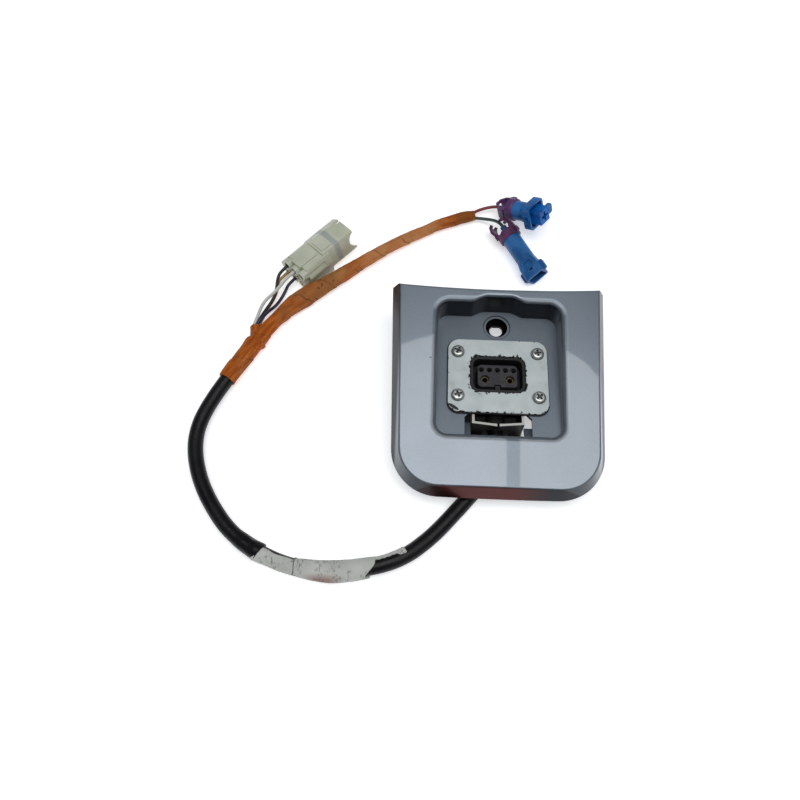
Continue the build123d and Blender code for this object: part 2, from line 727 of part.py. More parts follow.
def sealed_section(inset):
    """The body's section across its length: a rectangle with chamfered, rounded corners."""
    half_w = SEALED_W / 2 - inset
    half_h = SEALED_H / 2 - inset
    flat_w = SEALED_W / 2 - SEALED_CHAMFER_W - inset / 2
    flat_h = SEALED_H / 2 - SEALED_CHAMFER_H - inset / 2
    quarter = [(half_w, flat_h), (flat_w, half_h)]
    points = quarter + [(-x, y) for x, y in reversed(quarter)]
    points += [(-x, -y) for x, y in quarter] + [(x, -y) for x, y in reversed(quarter)]
    face = make_face(Polyline(*points, close=True))
    return fillet(face.vertices(), SEALED_CORNER - 0.5 * inset)


def along(x):
    """The plane across a connector at a distance along its own +X, with Y across and Z up."""
    return Plane(origin=(x, 0, 0), x_dir=(0, 1, 0), z_dir=(1, 0, 0))


def bar(start, end, width, height, y=0, z=0):
    """A box along a connector's own +X."""
    align = (Align.MIN, Align.CENTER, Align.CENTER)
    return Pos(start, y, z) * Box(end - start, width, height, align=align)


def rod(start, end, radius, y=0, z=0):
    """A round rod along a connector's own +X."""
    return along(start) * Pos(y, z) * Cylinder(radius, end - start, align=from_rear)


entries = [
    (ENTRY_PITCH_Y * col, ENTRY_PITCH_Z * row / 2) for row in (1, -1) for col in (1, 0, -1)
]
housing = along(4) * rounded_plate(SEALED_REAR_W, SEALED_REAR_H, 2.5, SEALED_STEP - 3)
for y, z in entries:
    housing += rod(0, SEALED_STEP, ENTRY_D / 2, y, z)
housing += extrude(along(SEALED_STEP) * sealed_section(0), SEALED_LENGTH - SEALED_STEP)
housing += bar(SEALED_STEP + 2, SEALED_STEP + 15, 8.4, 1.0, 0, SEALED_H / 2)
housing += bar(5, SEALED_STEP + 1, 7.6, SEALED_REAR_H + 1.4)
housing -= extrude(
    along(SEALED_FLOOR) * sealed_section(SEALED_WALL), SEALED_LENGTH - SEALED_FLOOR + 1
)
bite = Pos(SEALED_LENGTH + MOUTH_BITE / 3, 0, 0) * Rot(90, 0, 0) * Cylinder(MOUTH_BITE, 60)
housing -= bite
for y in (5.0, -5.0):
    housing -= Pos(SEALED_LENGTH, y, SEALED_H / 2) * Box(2 * NOTCH_SETBACK, 1.4, 8)
for y, z in entries:
    housing -= rod(-1, ENTRY_DEPTH, ENTRY_BORE / 2, y, z)
    housing -= rod(-1, SEALED_STEP + 4, WIRE_D / 2 + SEAT_GAP, y, z)
    housing -= bar(PIN_START, SEALED_LENGTH, PIN_W + 0.04, PIN_T + 0.04, y, z)
write(sealed * housing, "sealed_housing")

mouth_seal = sealed_section(SEALED_WALL + 0.05) - sealed_section(SEALED_WALL + MOUTH_SEAL_T)
mouth_seal = extrude(along(SEALED_FLOOR) * mouth_seal, MOUTH_SEAL_LENGTH)
write(sealed * mouth_seal, "mouth_seal")

USED_ENTRIES = (0, 1, 3, 4)
WIRE_IN = 12.0
wire_seals = []
pins = []
for number, (y, z) in enumerate(entries):
    ring = rod(0, WIRE_SEAL_LENGTH, ENTRY_BORE / 2 - 0.02)
    for groove in (1.3, 2.6, 3.9):
        ring -= along(groove) * Torus(ENTRY_BORE / 2 + 0.15, 0.45)
    if number in USED_ENTRIES:
        ring -= rod(-1, 4 * WIRE_SEAL_LENGTH, WIRE_D / 2 + 0.02)
        blade = bar(WIRE_IN, SEALED_LENGTH - PIN_SETBACK, PIN_W, PIN_T, y, z)
        pins.append(sealed * blade)
    wire_seals.append(sealed * Pos(1.2, y, z) * ring)
write(Compound(children=wire_seals), "wire_seals")
write(Compound(children=pins), "sealed_pins")

# Branch wires, each from the tape to its entry in the sealed connector
STRAIGHT_IN = -5.5


def on_axis(place, x, y=0, z=0):
    """A point given in a connector's own directions."""
    spot = (place * Pos(x, y, z)).position
    return (spot.X, spot.Y, spot.Z)


def wire_start(left, up):
    """A point on the end of the branch tape."""
    spot = branch_plane.offset(branch_out.length).from_local_coords(
        Vector(left * WIRE_PITCH / 2, up * WIRE_PITCH / 2)
    )
    return (spot.X, spot.Y, spot.Z)


BRANCH_WIRES = {
    "wire_grey": ((0, 1), wire_start(1, 1), [(-153.6, 54.5, 7.4), (-151, 64, 8.4), (-144.6, 73, 10.6)]),
    "wire_black": ((1, 1), wire_start(-1, 1), [(-151, 56, 5.6), (-147.3, 65.5, 4.8), (-143.8, 75.5, 6.2)]),
    "wire_violet": ((0, -1), wire_start(-1, -1), [(-149.3, 56, 2.6), (-143.2, 64, 1.8), (-140.2, 73, 2.6)]),
    "wire_yellow": ((1, -1), wire_start(1, -1), [(-152, 55.5, 2.4), (-146.3, 64.5, 1.8), (-143.4, 75, 2.2)]),
}
for wire_name, (entry, start, middle) in BRANCH_WIRES.items():
    y = ENTRY_PITCH_Y * entry[0]
    z = ENTRY_PITCH_Z * entry[1] / 2
    ends = [on_axis(sealed, STRAIGHT_IN, y, z), on_axis(sealed, WIRE_IN, y, z)]
    lay([start] + middle + ends, WIRE_D, wire_name)


# Two single-wire connectors
# Each has a round barrel along its own +X with a ribbed wire seal behind. A holder is clipped
# round the barrel, and its two flaps turn on pins in the holder's lugs and close over the seal.
# X = 0 is the rear face of the barrel, and the flaps' pins run along the connector's own Z.
SEAL_R = 4.0
SEAL_IN = 6.0
SEAL_REAR = 3.0
SEAL_TAIL = 6.5
SEAL_TAIL_R = 2.1
SEAL_GROOVES = (-1.9, 0.6, 2.2, 3.8)
HOLDER_R = 7.6
HOLDER_LENGTH = 5.0
HINGE_X = -1.8
HINGE_Y = 6.0
HINGE_PIN_R = 0.9
LUG_R = 1.6
LUG_IN = 3.7
LUG_OUT = 4.9
FLAP_HALF = 4.5
WIRE_NOTCH_R = 2.6
TERMINAL_R = 1.3
END_WIRE_D = 2.2
PLUG_AT = (12.9, 145.9, 10.3)
PLUG_TURNS = (-36.2, 26.0, -6.0)
PLUG_R = 6.5
PLUG_BLOCK = 10.4
PLUG_END = 28.4
FRAME_START = 16.4
FRAME_END = 21.8
FRAME_W = 16.4
FRAME_H = 17.8
FRAME_WALL = 1.5
MOUTH_AT = (10.5, 125.3, 9.3)
MOUTH_TURNS = (-60.0, -2.0, 40.5)
MOUTH_R = 6.25
MOUTH_END = 38.5
MOUTH_START = 29.0
MOUTH_W = 13.4
MOUTH_H = 11.6
MOUTH_WALL = 1.3
MOUTH_DEPTH = 11.0
PLUG_OPEN = {"far": 0.0, "near": 0.0}
MOUTH_OPEN = {"far": 6.0, "near": 30.0}


def placed(at, turns):
    """Where a connector lies: turned about the vertical, raised, and rolled about its length."""
    turn, rise, roll = turns
    return Pos(*at) * Rot(0, 0, turn) * Rot(0, -rise, 0) * Rot(roll, 0, 0)


def end_seal():
    """The ribbed seal round the wire, with a narrow tail."""
    seal = rod(-SEAL_REAR, SEAL_IN, SEAL_R - 0.02) + rod(-SEAL_TAIL, 0, SEAL_TAIL_R)
    for groove in SEAL_GROOVES:
        seal -= along(groove) * Torus(SEAL_R + 0.2, 0.75)
    return seal - rod(-2 * SEAL_TAIL, 2 * SEAL_IN, END_WIRE_D / 2 + 0.02)


def holder(barrel_r):
    """The collar round the barrel, with a rear lip and four lugs for the flaps' pins."""
    ring = rod(-SEAT_GAP, HOLDER_LENGTH, HOLDER_R)
    ring = chamfer(ring.edges().group_by(Axis.X)[-1], 0.8)
    lug_t = LUG_OUT - LUG_IN
    for sy in (-1, 1):
        for sz in (-1, 1):
            middle = sz * (LUG_IN + LUG_OUT) / 2
            eye = Pos(HINGE_X, sy * HINGE_Y, middle) * Cylinder(LUG_R, lug_t)
            foot = bar(HINGE_X, 1.0, 2 * LUG_R, lug_t, sy * HINGE_Y, middle)
            ring += eye + foot
    ring -= rod(0, 2 * HOLDER_LENGTH, barrel_r + 0.02)
    ring -= rod(-HOLDER_LENGTH, 2 * HOLDER_LENGTH, SEAL_R + SEAT_GAP)
    for sy in (-1, 1):
        ring -= Pos(HINGE_X, sy * HINGE_Y) * Cylinder(HINGE_PIN_R + RUN_GAP, 40)
        room = Pos(HINGE_X, sy * HINGE_Y) * Cylinder(LUG_R + SEAT_GAP, 2 * LUG_IN)
        ring -= room
    return ring


def flap(side, opened):
    """One flap, closed and then turned outwards on its pins."""
    outer = [(-1.8, 7.0), (-7.2, 5.7), (-10.2, 2.6), (-10.2, SEAM_GAP / 2)]
    inner = [(-8.8, SEAM_GAP / 2), (-8.8, 2.0), (-6.5, 4.3), (-1.8, 5.2)]
    face = make_face(Polyline(*outer, *inner, close=True))
    shell = extrude(face, FLAP_HALF, both=True)
    shell -= Pos(HINGE_X, HINGE_Y) * Cylinder(LUG_R + SWING_GAP, 4 * FLAP_HALF)
    root = extrude(face, LUG_IN - SWING_GAP, both=True)
    piece = shell + root
    piece += Pos(HINGE_X, HINGE_Y) * Cylinder(LUG_R - 0.2, 2 * (LUG_IN - SWING_GAP))
    piece += Pos(HINGE_X, HINGE_Y) * Cylinder(HINGE_PIN_R, 2 * LUG_OUT)
    piece -= rod(-20, 20, WIRE_NOTCH_R)
    turned = Pos(HINGE_X, HINGE_Y) * Rot(0, 0, -opened) * Pos(-HINGE_X, -HINGE_Y) * piece
    if side == "near":
        turned = mirror(turned, about=Plane.XZ)
    return turned


# Upper connector: a square block stands in a deep frame with a latch slot and a looped tab
plug = placed(PLUG_AT, PLUG_TURNS)
body = rod(0, FRAME_START - 2, PLUG_R)
flare = Sketch() + along(FRAME_START - 3) * Circle(PLUG_R)
frame_face = along(FRAME_START) * RectangleRounded(FRAME_W - 2, FRAME_H - 3, 4)
body += loft([flare.faces()[0], frame_face.faces()[0]])
body += along(FRAME_START) * rounded_plate(FRAME_W, FRAME_H, 2.8, FRAME_END - FRAME_START)
tab = Pos(FRAME_END - 1.6, FRAME_W / 2 + 3.5, -4.8) * Box(2.2, 11.4, 7.0)
tab = fillet(tab.edges().filter_by(Axis.X), 1.6)
body += tab
body -= rod(FRAME_START - 5, FRAME_END + 5, 1.6, FRAME_W / 2 + 4.4, -4.8)
body -= along(FRAME_START + 1.4) * rounded_plate(
    FRAME_W - 2 * FRAME_WALL, FRAME_H - 2 * FRAME_WALL, 1.6, 10
)
body -= bar(FRAME_START + 1.4, FRAME_END - 1.4, 6, 7.0, -FRAME_W / 2, -1.6)
body -= bar(12, FRAME_END, PLUG_BLOCK + 0.04, PLUG_BLOCK + 0.04)
body -= rod(-1, SEAL_IN + 0.5, SEAL_R)
body -= rod(-1, FRAME_END, TERMINAL_R + 0.02)
write(plug * body, "plug_body")

inner_block = along(12) * rounded_plate(PLUG_BLOCK, PLUG_BLOCK, 1.4, PLUG_END - 12)
inner_block = chamfer(inner_block.edges().group_by(Axis.X)[-1], 0.5)
for turn in (0, 90):
    arm = Pos(PLUG_END, 0, 0) * Rot(turn, 0, 0) * Box(11.0, 6.6, 1.7)
    inner_block -= arm
inner_block -= rod(0, PLUG_END + 1, TERMINAL_R + 0.02)
write(plug * inner_block, "plug_block")
terminal = rod(SEAL_IN, PLUG_END - 6.5, TERMINAL_R) - rod(14, PLUG_END, 0.8)
write(plug * terminal, "plug_terminal")
write(plug * end_seal(), "plug_seal")
write(plug * holder(PLUG_R), "plug_holder")
write(plug * flap("far", PLUG_OPEN["far"]), "plug_flap_far")
write(plug * flap("near", PLUG_OPEN["near"]), "plug_flap_near")

# Lower connector: the barrel widens into a rectangular mouth with side rails
mouth = placed(MOUTH_AT, MOUTH_TURNS)
body = rod(0, MOUTH_START - 5, MOUTH_R)
round_end = along(MOUTH_START - 6) * Circle(MOUTH_R)
square_end = along(MOUTH_START) * RectangleRounded(MOUTH_W, MOUTH_H, 2.2)
body += loft([round_end.faces()[0], square_end.faces()[0]])
body += along(MOUTH_START) * rounded_plate(MOUTH_W, MOUTH_H, 2.2, MOUTH_END - MOUTH_START)
rails = bar(MOUTH_END - 8.5, MOUTH_END - 1.4, MOUTH_W + 4.6, 2.4)
body += fillet(rails.edges().filter_by(Axis.Z), 1.2)
body -= bar(MOUTH_END - 11.5, MOUTH_END - 5.5, 5.4, 1.8, 0.8, MOUTH_H / 2 + 0.1)
body -= bar(MOUTH_END - 6.2, MOUTH_END - 4.6, 2.6, 4.0, 0.8, MOUTH_H / 2)
body -= along(MOUTH_END - MOUTH_DEPTH) * rounded_plate(
    MOUTH_W - 2 * MOUTH_WALL, MOUTH_H - 2 * MOUTH_WALL, 1.2, 2 * MOUTH_DEPTH
)
body -= rod(-1, SEAL_IN + 0.5, SEAL_R)
body -= rod(-1, MOUTH_END, TERMINAL_R + 0.02)
write(mouth * body, "mouth_body")
pin = rod(SEAL_IN, MOUTH_END - MOUTH_DEPTH, TERMINAL_R)
pin += rod(MOUTH_END - MOUTH_DEPTH - 1, MOUTH_END - 3.5, 0.75)
pin = chamfer(pin.edges().group_by(Axis.X)[-1], 0.35)
write(mouth * pin, "mouth_pin")
write(mouth * end_seal(), "mouth_wire_seal")
write(mouth * holder(MOUTH_R), "mouth_holder")
write(mouth * flap("far", MOUTH_OPEN["far"]), "mouth_flap_far")
write(mouth * flap("near", MOUTH_OPEN["near"]), "mouth_flap_near")

# The two end wires, each on into its seal
RED_ROUTE = [(-12.5, 146.3, 4.4), (-7.8, 149.8, 4.3)]
RED_ROUTE += [on_axis(plug, -12.8), on_axis(plug, -1.5, 0.04), on_axis(plug, SEAL_IN)]
lay(RED_ROUTE, END_WIRE_D, "wire_red")
GREEN_ROUTE = [(-11.3, 142.6, 3.4), (-2.0, 141.6, 4.0)]
GREEN_ROUTE += [on_axis(mouth, -11.2), on_axis(mouth, -1.5, 0.04), on_axis(mouth, SEAL_IN)]
lay(GREEN_ROUTE, END_WIRE_D, "wire_green")
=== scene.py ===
"""A wiring harness: a cover with a recessed socket, its sleeved and taped cable, four connectors."""

import json
import math

import bmesh
import bpy
from mathutils import Matrix, Vector, noise

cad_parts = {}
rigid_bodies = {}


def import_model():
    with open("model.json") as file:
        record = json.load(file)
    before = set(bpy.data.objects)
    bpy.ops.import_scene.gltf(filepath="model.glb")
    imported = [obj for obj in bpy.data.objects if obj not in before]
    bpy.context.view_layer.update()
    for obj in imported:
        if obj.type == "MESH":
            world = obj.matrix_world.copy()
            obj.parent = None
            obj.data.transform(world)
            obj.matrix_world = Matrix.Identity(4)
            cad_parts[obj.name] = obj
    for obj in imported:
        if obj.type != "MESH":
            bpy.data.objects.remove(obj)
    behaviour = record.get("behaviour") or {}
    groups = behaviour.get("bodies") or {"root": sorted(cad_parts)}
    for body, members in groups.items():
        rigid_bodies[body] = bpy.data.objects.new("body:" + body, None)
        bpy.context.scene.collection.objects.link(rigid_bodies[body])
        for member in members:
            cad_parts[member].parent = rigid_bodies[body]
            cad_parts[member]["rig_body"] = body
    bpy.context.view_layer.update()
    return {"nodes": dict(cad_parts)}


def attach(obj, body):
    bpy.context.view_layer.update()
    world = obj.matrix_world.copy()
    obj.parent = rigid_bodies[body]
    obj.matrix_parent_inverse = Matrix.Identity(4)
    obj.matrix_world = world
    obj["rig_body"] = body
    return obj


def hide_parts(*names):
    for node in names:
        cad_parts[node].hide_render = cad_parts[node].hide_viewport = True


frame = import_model()

# Camera and studio
# The harness lies on a white table under two broad softboxes with a narrow gap between them,
# whose far edges fall away behind black flags. It is seen from above, as in the photograph.
camera = bpy.data.cameras.new("camera")
camera.sensor_width = 36.0
camera.lens = 33.37
camera.clip_start = 0.01
camera_holder = bpy.data.objects.new("camera", camera)
tilt = (
    Matrix.Rotation(math.radians(1.595), 4, "Z")
    @ Matrix.Rotation(math.radians(24.97), 4, "X")
    @ Matrix.Rotation(math.radians(0.698), 4, "Z")
)
camera_holder.matrix_world = Matrix.Translation((-0.05283, -0.19349, 0.41955)) @ tilt
bpy.context.scene.collection.objects.link(camera_holder)
bpy.context.scene.camera = camera_holder
bpy.context.scene.view_settings.view_transform = "Standard"


def node_in(tree, kind, inputs=None, **settings):
    """One node of a tree; its inputs are numbers, colours or the outputs of other nodes."""
    made = tree.nodes.new(kind)
    for name, value in settings.items():
        setattr(made, name, value)
    for socket, value in (inputs or {}).items():
        if isinstance(value, bpy.types.NodeSocket):
            tree.links.new(value, made.inputs[socket])
        else:
            made.inputs[socket].default_value = value
    return made


def add_node(material, kind, inputs=None, **settings):
    """One shader node of a finish."""
    return node_in(material.node_tree, "ShaderNode" + kind, inputs, **settings)


def new_finish(name, **constants):
    """A finish with its own shader, whose constants sit on the shader's sockets."""
    material = bpy.data.materials.new(name)
    material.use_nodes = True
    shader = material.node_tree.nodes["Principled BSDF"]
    for socket, value in constants.items():
        shader.inputs[socket.replace("_", " ")].default_value = value
    return material


def feed(material, socket, value):
    """Joins a node's output to a socket of the finish's shader."""
    shader = material.node_tree.nodes["Principled BSDF"]
    material.node_tree.links.new(value, shader.inputs[socket])


def tone(red, green, blue):
    """A colour as the eye names it, 0 to 255, in the shader's linear light."""
    parts = [part / 255 for part in (red, green, blue)]
    return (*(((p + 0.055) / 1.055) ** 2.4 if p > 0.04 else p / 12.92 for p in parts), 1.0)


def spread(material, value, low, high, start, end, **settings):
    """Turns a value that runs from start to end into one that runs from low to high."""
    sockets = {"Value": value, "From Min": start, "From Max": end, "To Min": low, "To Max": high}
    return add_node(material, "MapRange", sockets, **settings).outputs["Result"]


def object_place(material, stretch=(1.0, 1.0, 1.0)):
    """The object's own coordinates, stretched along its axes."""
    place = add_node(material, "TexCoord").outputs["Object"]
    return add_node(material, "Mapping", {"Vector": place, "Scale": stretch}).outputs["Vector"]


def axes(material, place=None):
    """The three parts of a place or a direction, of the object's own place if none is given."""
    return add_node(material, "SeparateXYZ", {0: place or object_place(material)}).outputs


def mottle(material, scale, low=0, high=1, start=0.35, end=0.65, detail=3.0, place=None):
    """Soft patches over the surface, from low to high."""
    sockets = {"Vector": place or object_place(material), "Scale": scale, "Detail": detail}
    clouds = add_node(material, "TexNoise", sockets).outputs["Fac"]
    return spread(material, clouds, low, high, start, end)


def patches(material, scale, start, end, detail=3.0):
    """Soft patches as a share from 0 to 1, sharper where start and end lie close together."""
    return mottle(material, scale, 0, 1, start, end, detail)


def blend(material, share, first, second):
    """A mix of two colours by a share from 0 to 1."""
    made = add_node(material, "Mix", {0: share, 6: first, 7: second}, data_type="RGBA")
    return made.outputs[2]


def coat(material, base, *layers):
    """Feeds the base colour: a first one with others laid over it, each by its own share."""
    for share, over in layers:
        base = blend(material, share, base, tone(*over))
    feed(material, "Base Color", base)
    return base


def clouded(material, share, first, second):
    """Two colours, each named 0 to 255, mixed by a share such as soft patches."""
    return blend(material, share, tone(*first), tone(*second))


def flecked(name, scale, first, second, rough=None, limits=(), **constants):
    """A finish with soft patches of two colours and, where rough gives them, of roughness."""
    material = new_finish(name, **constants)
    share = mottle(material, scale, 0, 1, *limits)
    coat(material, clouded(material, share, first, second))
    if rough:
        feed(material, "Roughness", mottle(material, *rough))
    return material


def reckon(material, operation, first, *others):
    """A sum on two values, or on more of them one after the other."""
    for other in others:
        sockets = {0: first, 1: other}
        first = add_node(material, "Math", sockets, operation=operation).outputs[0]
    return first


def product(material, *values):
    """Several shares multiplied by each other."""
    return reckon(material, "MULTIPLY", *values)


def greatest(material, *values):
    """The largest of several shares."""
    return reckon(material, "MAXIMUM", *values)


def window(material, value, rise, fall, height=1.0):
    """A share that rises over one stretch of a value and falls back over another."""
    up = spread(material, value, 0, height, *rise)
    return product(material, up, spread(material, value, 1, 0, *fall))


def reckon_place(material, operation, *inputs):
    """A sum on places. A length or a distance comes back as a number."""
    made = add_node(material, "VectorMath", dict(enumerate(inputs)), operation=operation)
    return made.outputs["Value" if operation in ("LENGTH", "DISTANCE") else "Vector"]


def outside(material, middle, halves, corner):
    """How far a point lies outside a rounded rectangle seen from above, in metres."""
    sockets = {
        "Vector": add_node(material, "TexCoord").outputs["Object"],
        "Location": (-middle[0], -middle[1], 0),
        "Scale": (1, 1, 0),
    }
    place = add_node(material, "Mapping", sockets).outputs["Vector"]
    place = reckon_place(material, "ABSOLUTE", place)
    inner = (halves[0] - corner, halves[1] - corner, 0)
    place = reckon_place(material, "SUBTRACT", place, inner)
    place = reckon_place(material, "MAXIMUM", place, (0, 0, 0))
    return reckon(material, "SUBTRACT", reckon_place(material, "LENGTH", place), corner)


def roughen(material, height, depth, strength=1.0):
    """Gives the finish a relief that is depth metres deep."""
    sockets = {"Height": height, "Distance": depth, "Strength": strength}
    feed(material, "Normal", add_node(material, "Bump", sockets).outputs["Normal"])


white = new_finish(
    "white_table", Roughness=0.9, Specular_IOR_Level=0.1, Emission_Strength=0.48
)
table_base = clouded(white, mottle(white, 3.0), (244, 244, 245), (249, 249, 250))
table_axes = axes(white)
# Painted shadow: the table's colour and glow are dark under the guard.
shadow_under_guard = product(
    white,
    window(white, table_axes["X"], (-0.0240, -0.0220), (0.0150, 0.0175)),
    window(white, table_axes["Y"], (-0.0340, -0.0300), (0.0200, 0.0300)),
)
table_tone = coat(white, table_base, (shadow_under_guard, (30, 30, 31)))
feed(white, "Emission Color", table_tone)
table_mesh = bpy.data.meshes.new("table")
table_mesh.from_pydata([(-4, -4, 0), (4, -4, 0), (4, 4, 0), (-4, 4, 0)], [], [(0, 1, 2, 3)])
table = bpy.data.objects.new("table", table_mesh)
table.data.materials.append(white)
table.location.z = -0.0004
bpy.context.scene.collection.objects.link(table)

LIGHT_HEIGHT, LIGHT_FAR_EDGE, LIGHT_DEPTH, LIGHT_GAP = 1.35, 0.42, 1.10, 0.046
LIGHT_GAP_AT, LIGHT_RADIANCE, FLAG_PAST, FLAG_DEPTH, FLAG_BELOW = 0.212, 2.95, 0.05, 0.1, 0.01
black_flag = new_finish("black_flag", Base_Color=tone(8, 8, 8), Roughness=1.0)
for name, width, way, fall in (("left_panel", 0.85, -1, 0.21), ("right_panel", 0.70, 1, 0.46)):
    panel = bpy.data.lights.new(name, "AREA")
    panel.shape = "RECTANGLE"
    panel.size = width
    panel.size_y = LIGHT_DEPTH
    panel.energy = LIGHT_RADIANCE * math.pi * width * LIGHT_DEPTH
    panel_holder = bpy.data.objects.new(name, panel)
    inner = LIGHT_GAP_AT + way * LIGHT_GAP / 2
    middle_y = LIGHT_FAR_EDGE - LIGHT_DEPTH / 2
    panel_holder.location = (inner + way * width / 2, middle_y, LIGHT_HEIGHT)
    bpy.context.scene.collection.objects.link(panel_holder)
    outer = inner + way * (width + FLAG_PAST)
    slanted = LIGHT_FAR_EDGE - fall * (width + FLAG_PAST)
    far = LIGHT_FAR_EDGE + FLAG_DEPTH
    corners = [(inner, LIGHT_FAR_EDGE), (outer, slanted), (outer, far), (inner, far)]
    flag_mesh = bpy.data.meshes.new(name + "_flag")
    flag_places = [(x, y, LIGHT_HEIGHT - FLAG_BELOW) for x, y in corners]
    flag_mesh.from_pydata(flag_places, [], [(0, 1, 2, 3)])
    flag_mesh.materials.append(black_flag)
    flag = bpy.data.objects.new(name + "_flag", flag_mesh)
    bpy.context.scene.collection.objects.link(flag)

studio = bpy.data.worlds.new("studio")
studio.use_nodes = True
studio.node_tree.nodes["Background"].inputs["Color"].default_value = tone(226, 232, 240)
studio.node_tree.nodes["Background"].inputs["Strength"].default_value = 0.30
bpy.context.scene.world = studio

# Black cable sleeve
# A soft PVC sleeve, semi-gloss black, from the boot of the socket's rear shell to the taped loom,
# lying on the table in one long bend. A second, wider length is pushed over it at the far side.
SLEEVE_D = 0.0092
SLEEVE_ROUTE = [
    (0, -0.01962, 0.0065),
    (0, -0.0365, 0.0065),
    (-0.0085, -0.0525, 0.005),
    (-0.022, -0.0686, 0.0048),
    (-0.037, -0.086, 0.0054),
    (-0.0545, -0.100, 0.0064),
    (-0.0785, -0.1066, 0.0064),
    (-0.0975, -0.1082, 0.0064),
    (-0.122, -0.1044, 0.0064),
    (-0.1485, -0.0906, 0.0049),
    (-0.1645, -0.0725, 0.0047),
    (-0.176, -0.052, 0.0047),
    (-0.181, -0.030, 0.0047),
    (-0.176, -0.009, 0.0054),
    (-0.1665, 0.009, 0.0054),
]


def route_curve(name, route, steps=12, bevel=0.0):
    """A smooth cord along a route, as one spline with the route's points as its controls."""
    curve = bpy.data.curves.new(name, "CURVE")
    curve.dimensions = "3D"
    curve.resolution_u = steps
    curve.bevel_depth = bevel
    curve.bevel_resolution = 6
    curve.use_fill_caps = True
    spline = curve.splines.new("NURBS")
    spline.points.add(len(route) - 1)
    for point, place in zip(spline.points, route):
        point.co = (*place, 1.0)
    spline.order_u = 3
    spline.use_endpoint_u = True
    return bpy.data.objects.new(name, curve)


def frames_along(route, steps=40):
    """Each point of a route's spline: its distance, its place, its right-hand side and its top."""
    holder = route_curve("line", route, steps)
    holder.data.use_fill_caps = False
    line = [v.co.copy() for v in bpy.data.meshes.new_from_object(holder).vertices]
    bpy.data.objects.remove(holder)
    frames, distance = [], 0.0
    side = (line[1] - line[0]).cross(Vector((0, 0, 1))).normalized()
    for index, place in enumerate(line):
        before, after = line[max(index - 1, 0)], line[min(index + 1, len(line) - 1)]
        ahead = (after - before).normalized()
        side = (side - ahead * side.dot(ahead)).normalized()
        distance += (place - before).length
        frames.append((distance, place, side, side.cross(ahead)))
    return frames


def at_distance(frames, distance):
    """The place, side and top at a distance along a route."""
    distance = min(max(distance, 0.0), frames[-1][0])
    index = next((i for i, f in enumerate(frames) if f[0] >= distance), len(frames) - 1)
    later, earlier = frames[index], frames[max(index - 1, 0)]
    gap = later[0] - earlier[0]
    share = (distance - earlier[0]) / gap if gap > 0 else 0.0
    return [earlier[i].lerp(later[i], share) for i in (1, 2, 3)]


def settled(name, mesh):
    """The finished mesh of a shape that was built up corner by corner."""
    made = bpy.data.meshes.new(name)
    mesh.to_mesh(made)
    mesh.free()
    return made


def add_piece(name, shape, finish, body="harness", sharp=40):
    """Puts a mesh or a ready object in the scene, on its body and with its finish."""
    if isinstance(shape, bmesh.types.BMesh):
        bmesh.ops.recalc_face_normals(shape, faces=shape.faces)
        shape = settled(name, shape)
    if isinstance(shape, bpy.types.Mesh):
        shape.polygons.foreach_set("use_smooth", [True] * len(shape.polygons))
        shape.set_sharp_from_angle(angle=math.radians(sharp))
        shape = bpy.data.objects.new(name, shape)
    shape.data.materials.clear()
    shape.data.materials.append(finish)
    bpy.context.scene.collection.objects.link(shape)
    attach(shape, body)
    return shape


def on_cord(frames, distance, angle, reach):
    """A point at a distance along a route, at an angle round it and a reach from its line."""
    place, side, top = at_distance(frames, distance)
    return place + (side * math.cos(angle) + top * math.sin(angle)) * reach


def wound_mesh(frames, start, end, surface, rings, sides=48, inner=None):
    """A closed round of material along a route. start and end give its edges by the angle round it,
    surface its radius by distance and angle, and inner the radius where its ends close."""
    mesh = bmesh.new()
    around = mesh.loops.layers.uv.new("around")
    angles = [math.tau * step / sides for step in range(sides)]

    def add_row(distances, reach):
        row = []
        for step, (distance, angle) in enumerate(zip(distances, angles)):
            place = on_cord(frames, distance, angle, reach(distance, angle))
            row.append((mesh.verts.new(place), step / sides, distance))
        return [*row, (row[0][0], 1.0, row[0][2])]

    def add_face(*corners):
        face = mesh.faces.new([corner[0] for corner in corners])
        for loop, (_, turn, distance) in zip(face.loops, corners):
            loop[around].uv = (turn, distance * 100)

    rows = []
    for ring in range(rings + 1):
        rows.append(add_row([start(a) + (end(a) - start(a)) * ring / rings for a in angles], surface))
    for low, high in zip(rows, rows[1:]):
        for step in range(sides):
            add_face(low[step], low[step + 1], high[step + 1], high[step])
    for row in (rows[0], rows[-1]):
        rim = row
        if inner:
            rim = add_row([corner[2] for corner in row], lambda distance, angle: inner)
        middle = mesh.verts.new(at_distance(frames, row[0][2])[0])
        for step in range(sides):
            if inner:
                add_face(row[step], row[step + 1], rim[step + 1], rim[step])
            add_face(rim[step], rim[step + 1], (middle, *rim[step][1:]))
    return mesh


def steady(value):
    """An edge that is the same all round."""
    return lambda angle: value


def crumple(distance, angle, along, around, seed):
    """A value from about -1 to 1 that wanders along and round a cord, other for each seed."""
    place = (distance * along, math.cos(angle) * around, math.sin(angle) * around + seed)
    return noise.noise(Vector(place))


sleeve_frames = frames_along(SLEEVE_ROUTE)
sleeve_length = sleeve_frames[-1][0]
OVERLAP_START, OVERLAP_END, OVERLAP_RADIUS, OVERLAP_INNER = 0.1815, 0.1985, 0.00470, 0.0040
FLARE_LENGTH, FLARE_HEIGHT, FLARE_WAVE = 0.016, 0.0008, 0.00045


def share_of(distance, start, length):
    """How far along a stretch of a cord a distance lies, 0 before it and 1 past it."""
    return min(max((distance - start) / length, 0.0), 1.0)


def swelling(distance, middle, width, height):
    """A local swelling along a cord."""
    return height * math.exp(-(((distance - middle) / width) ** 2))


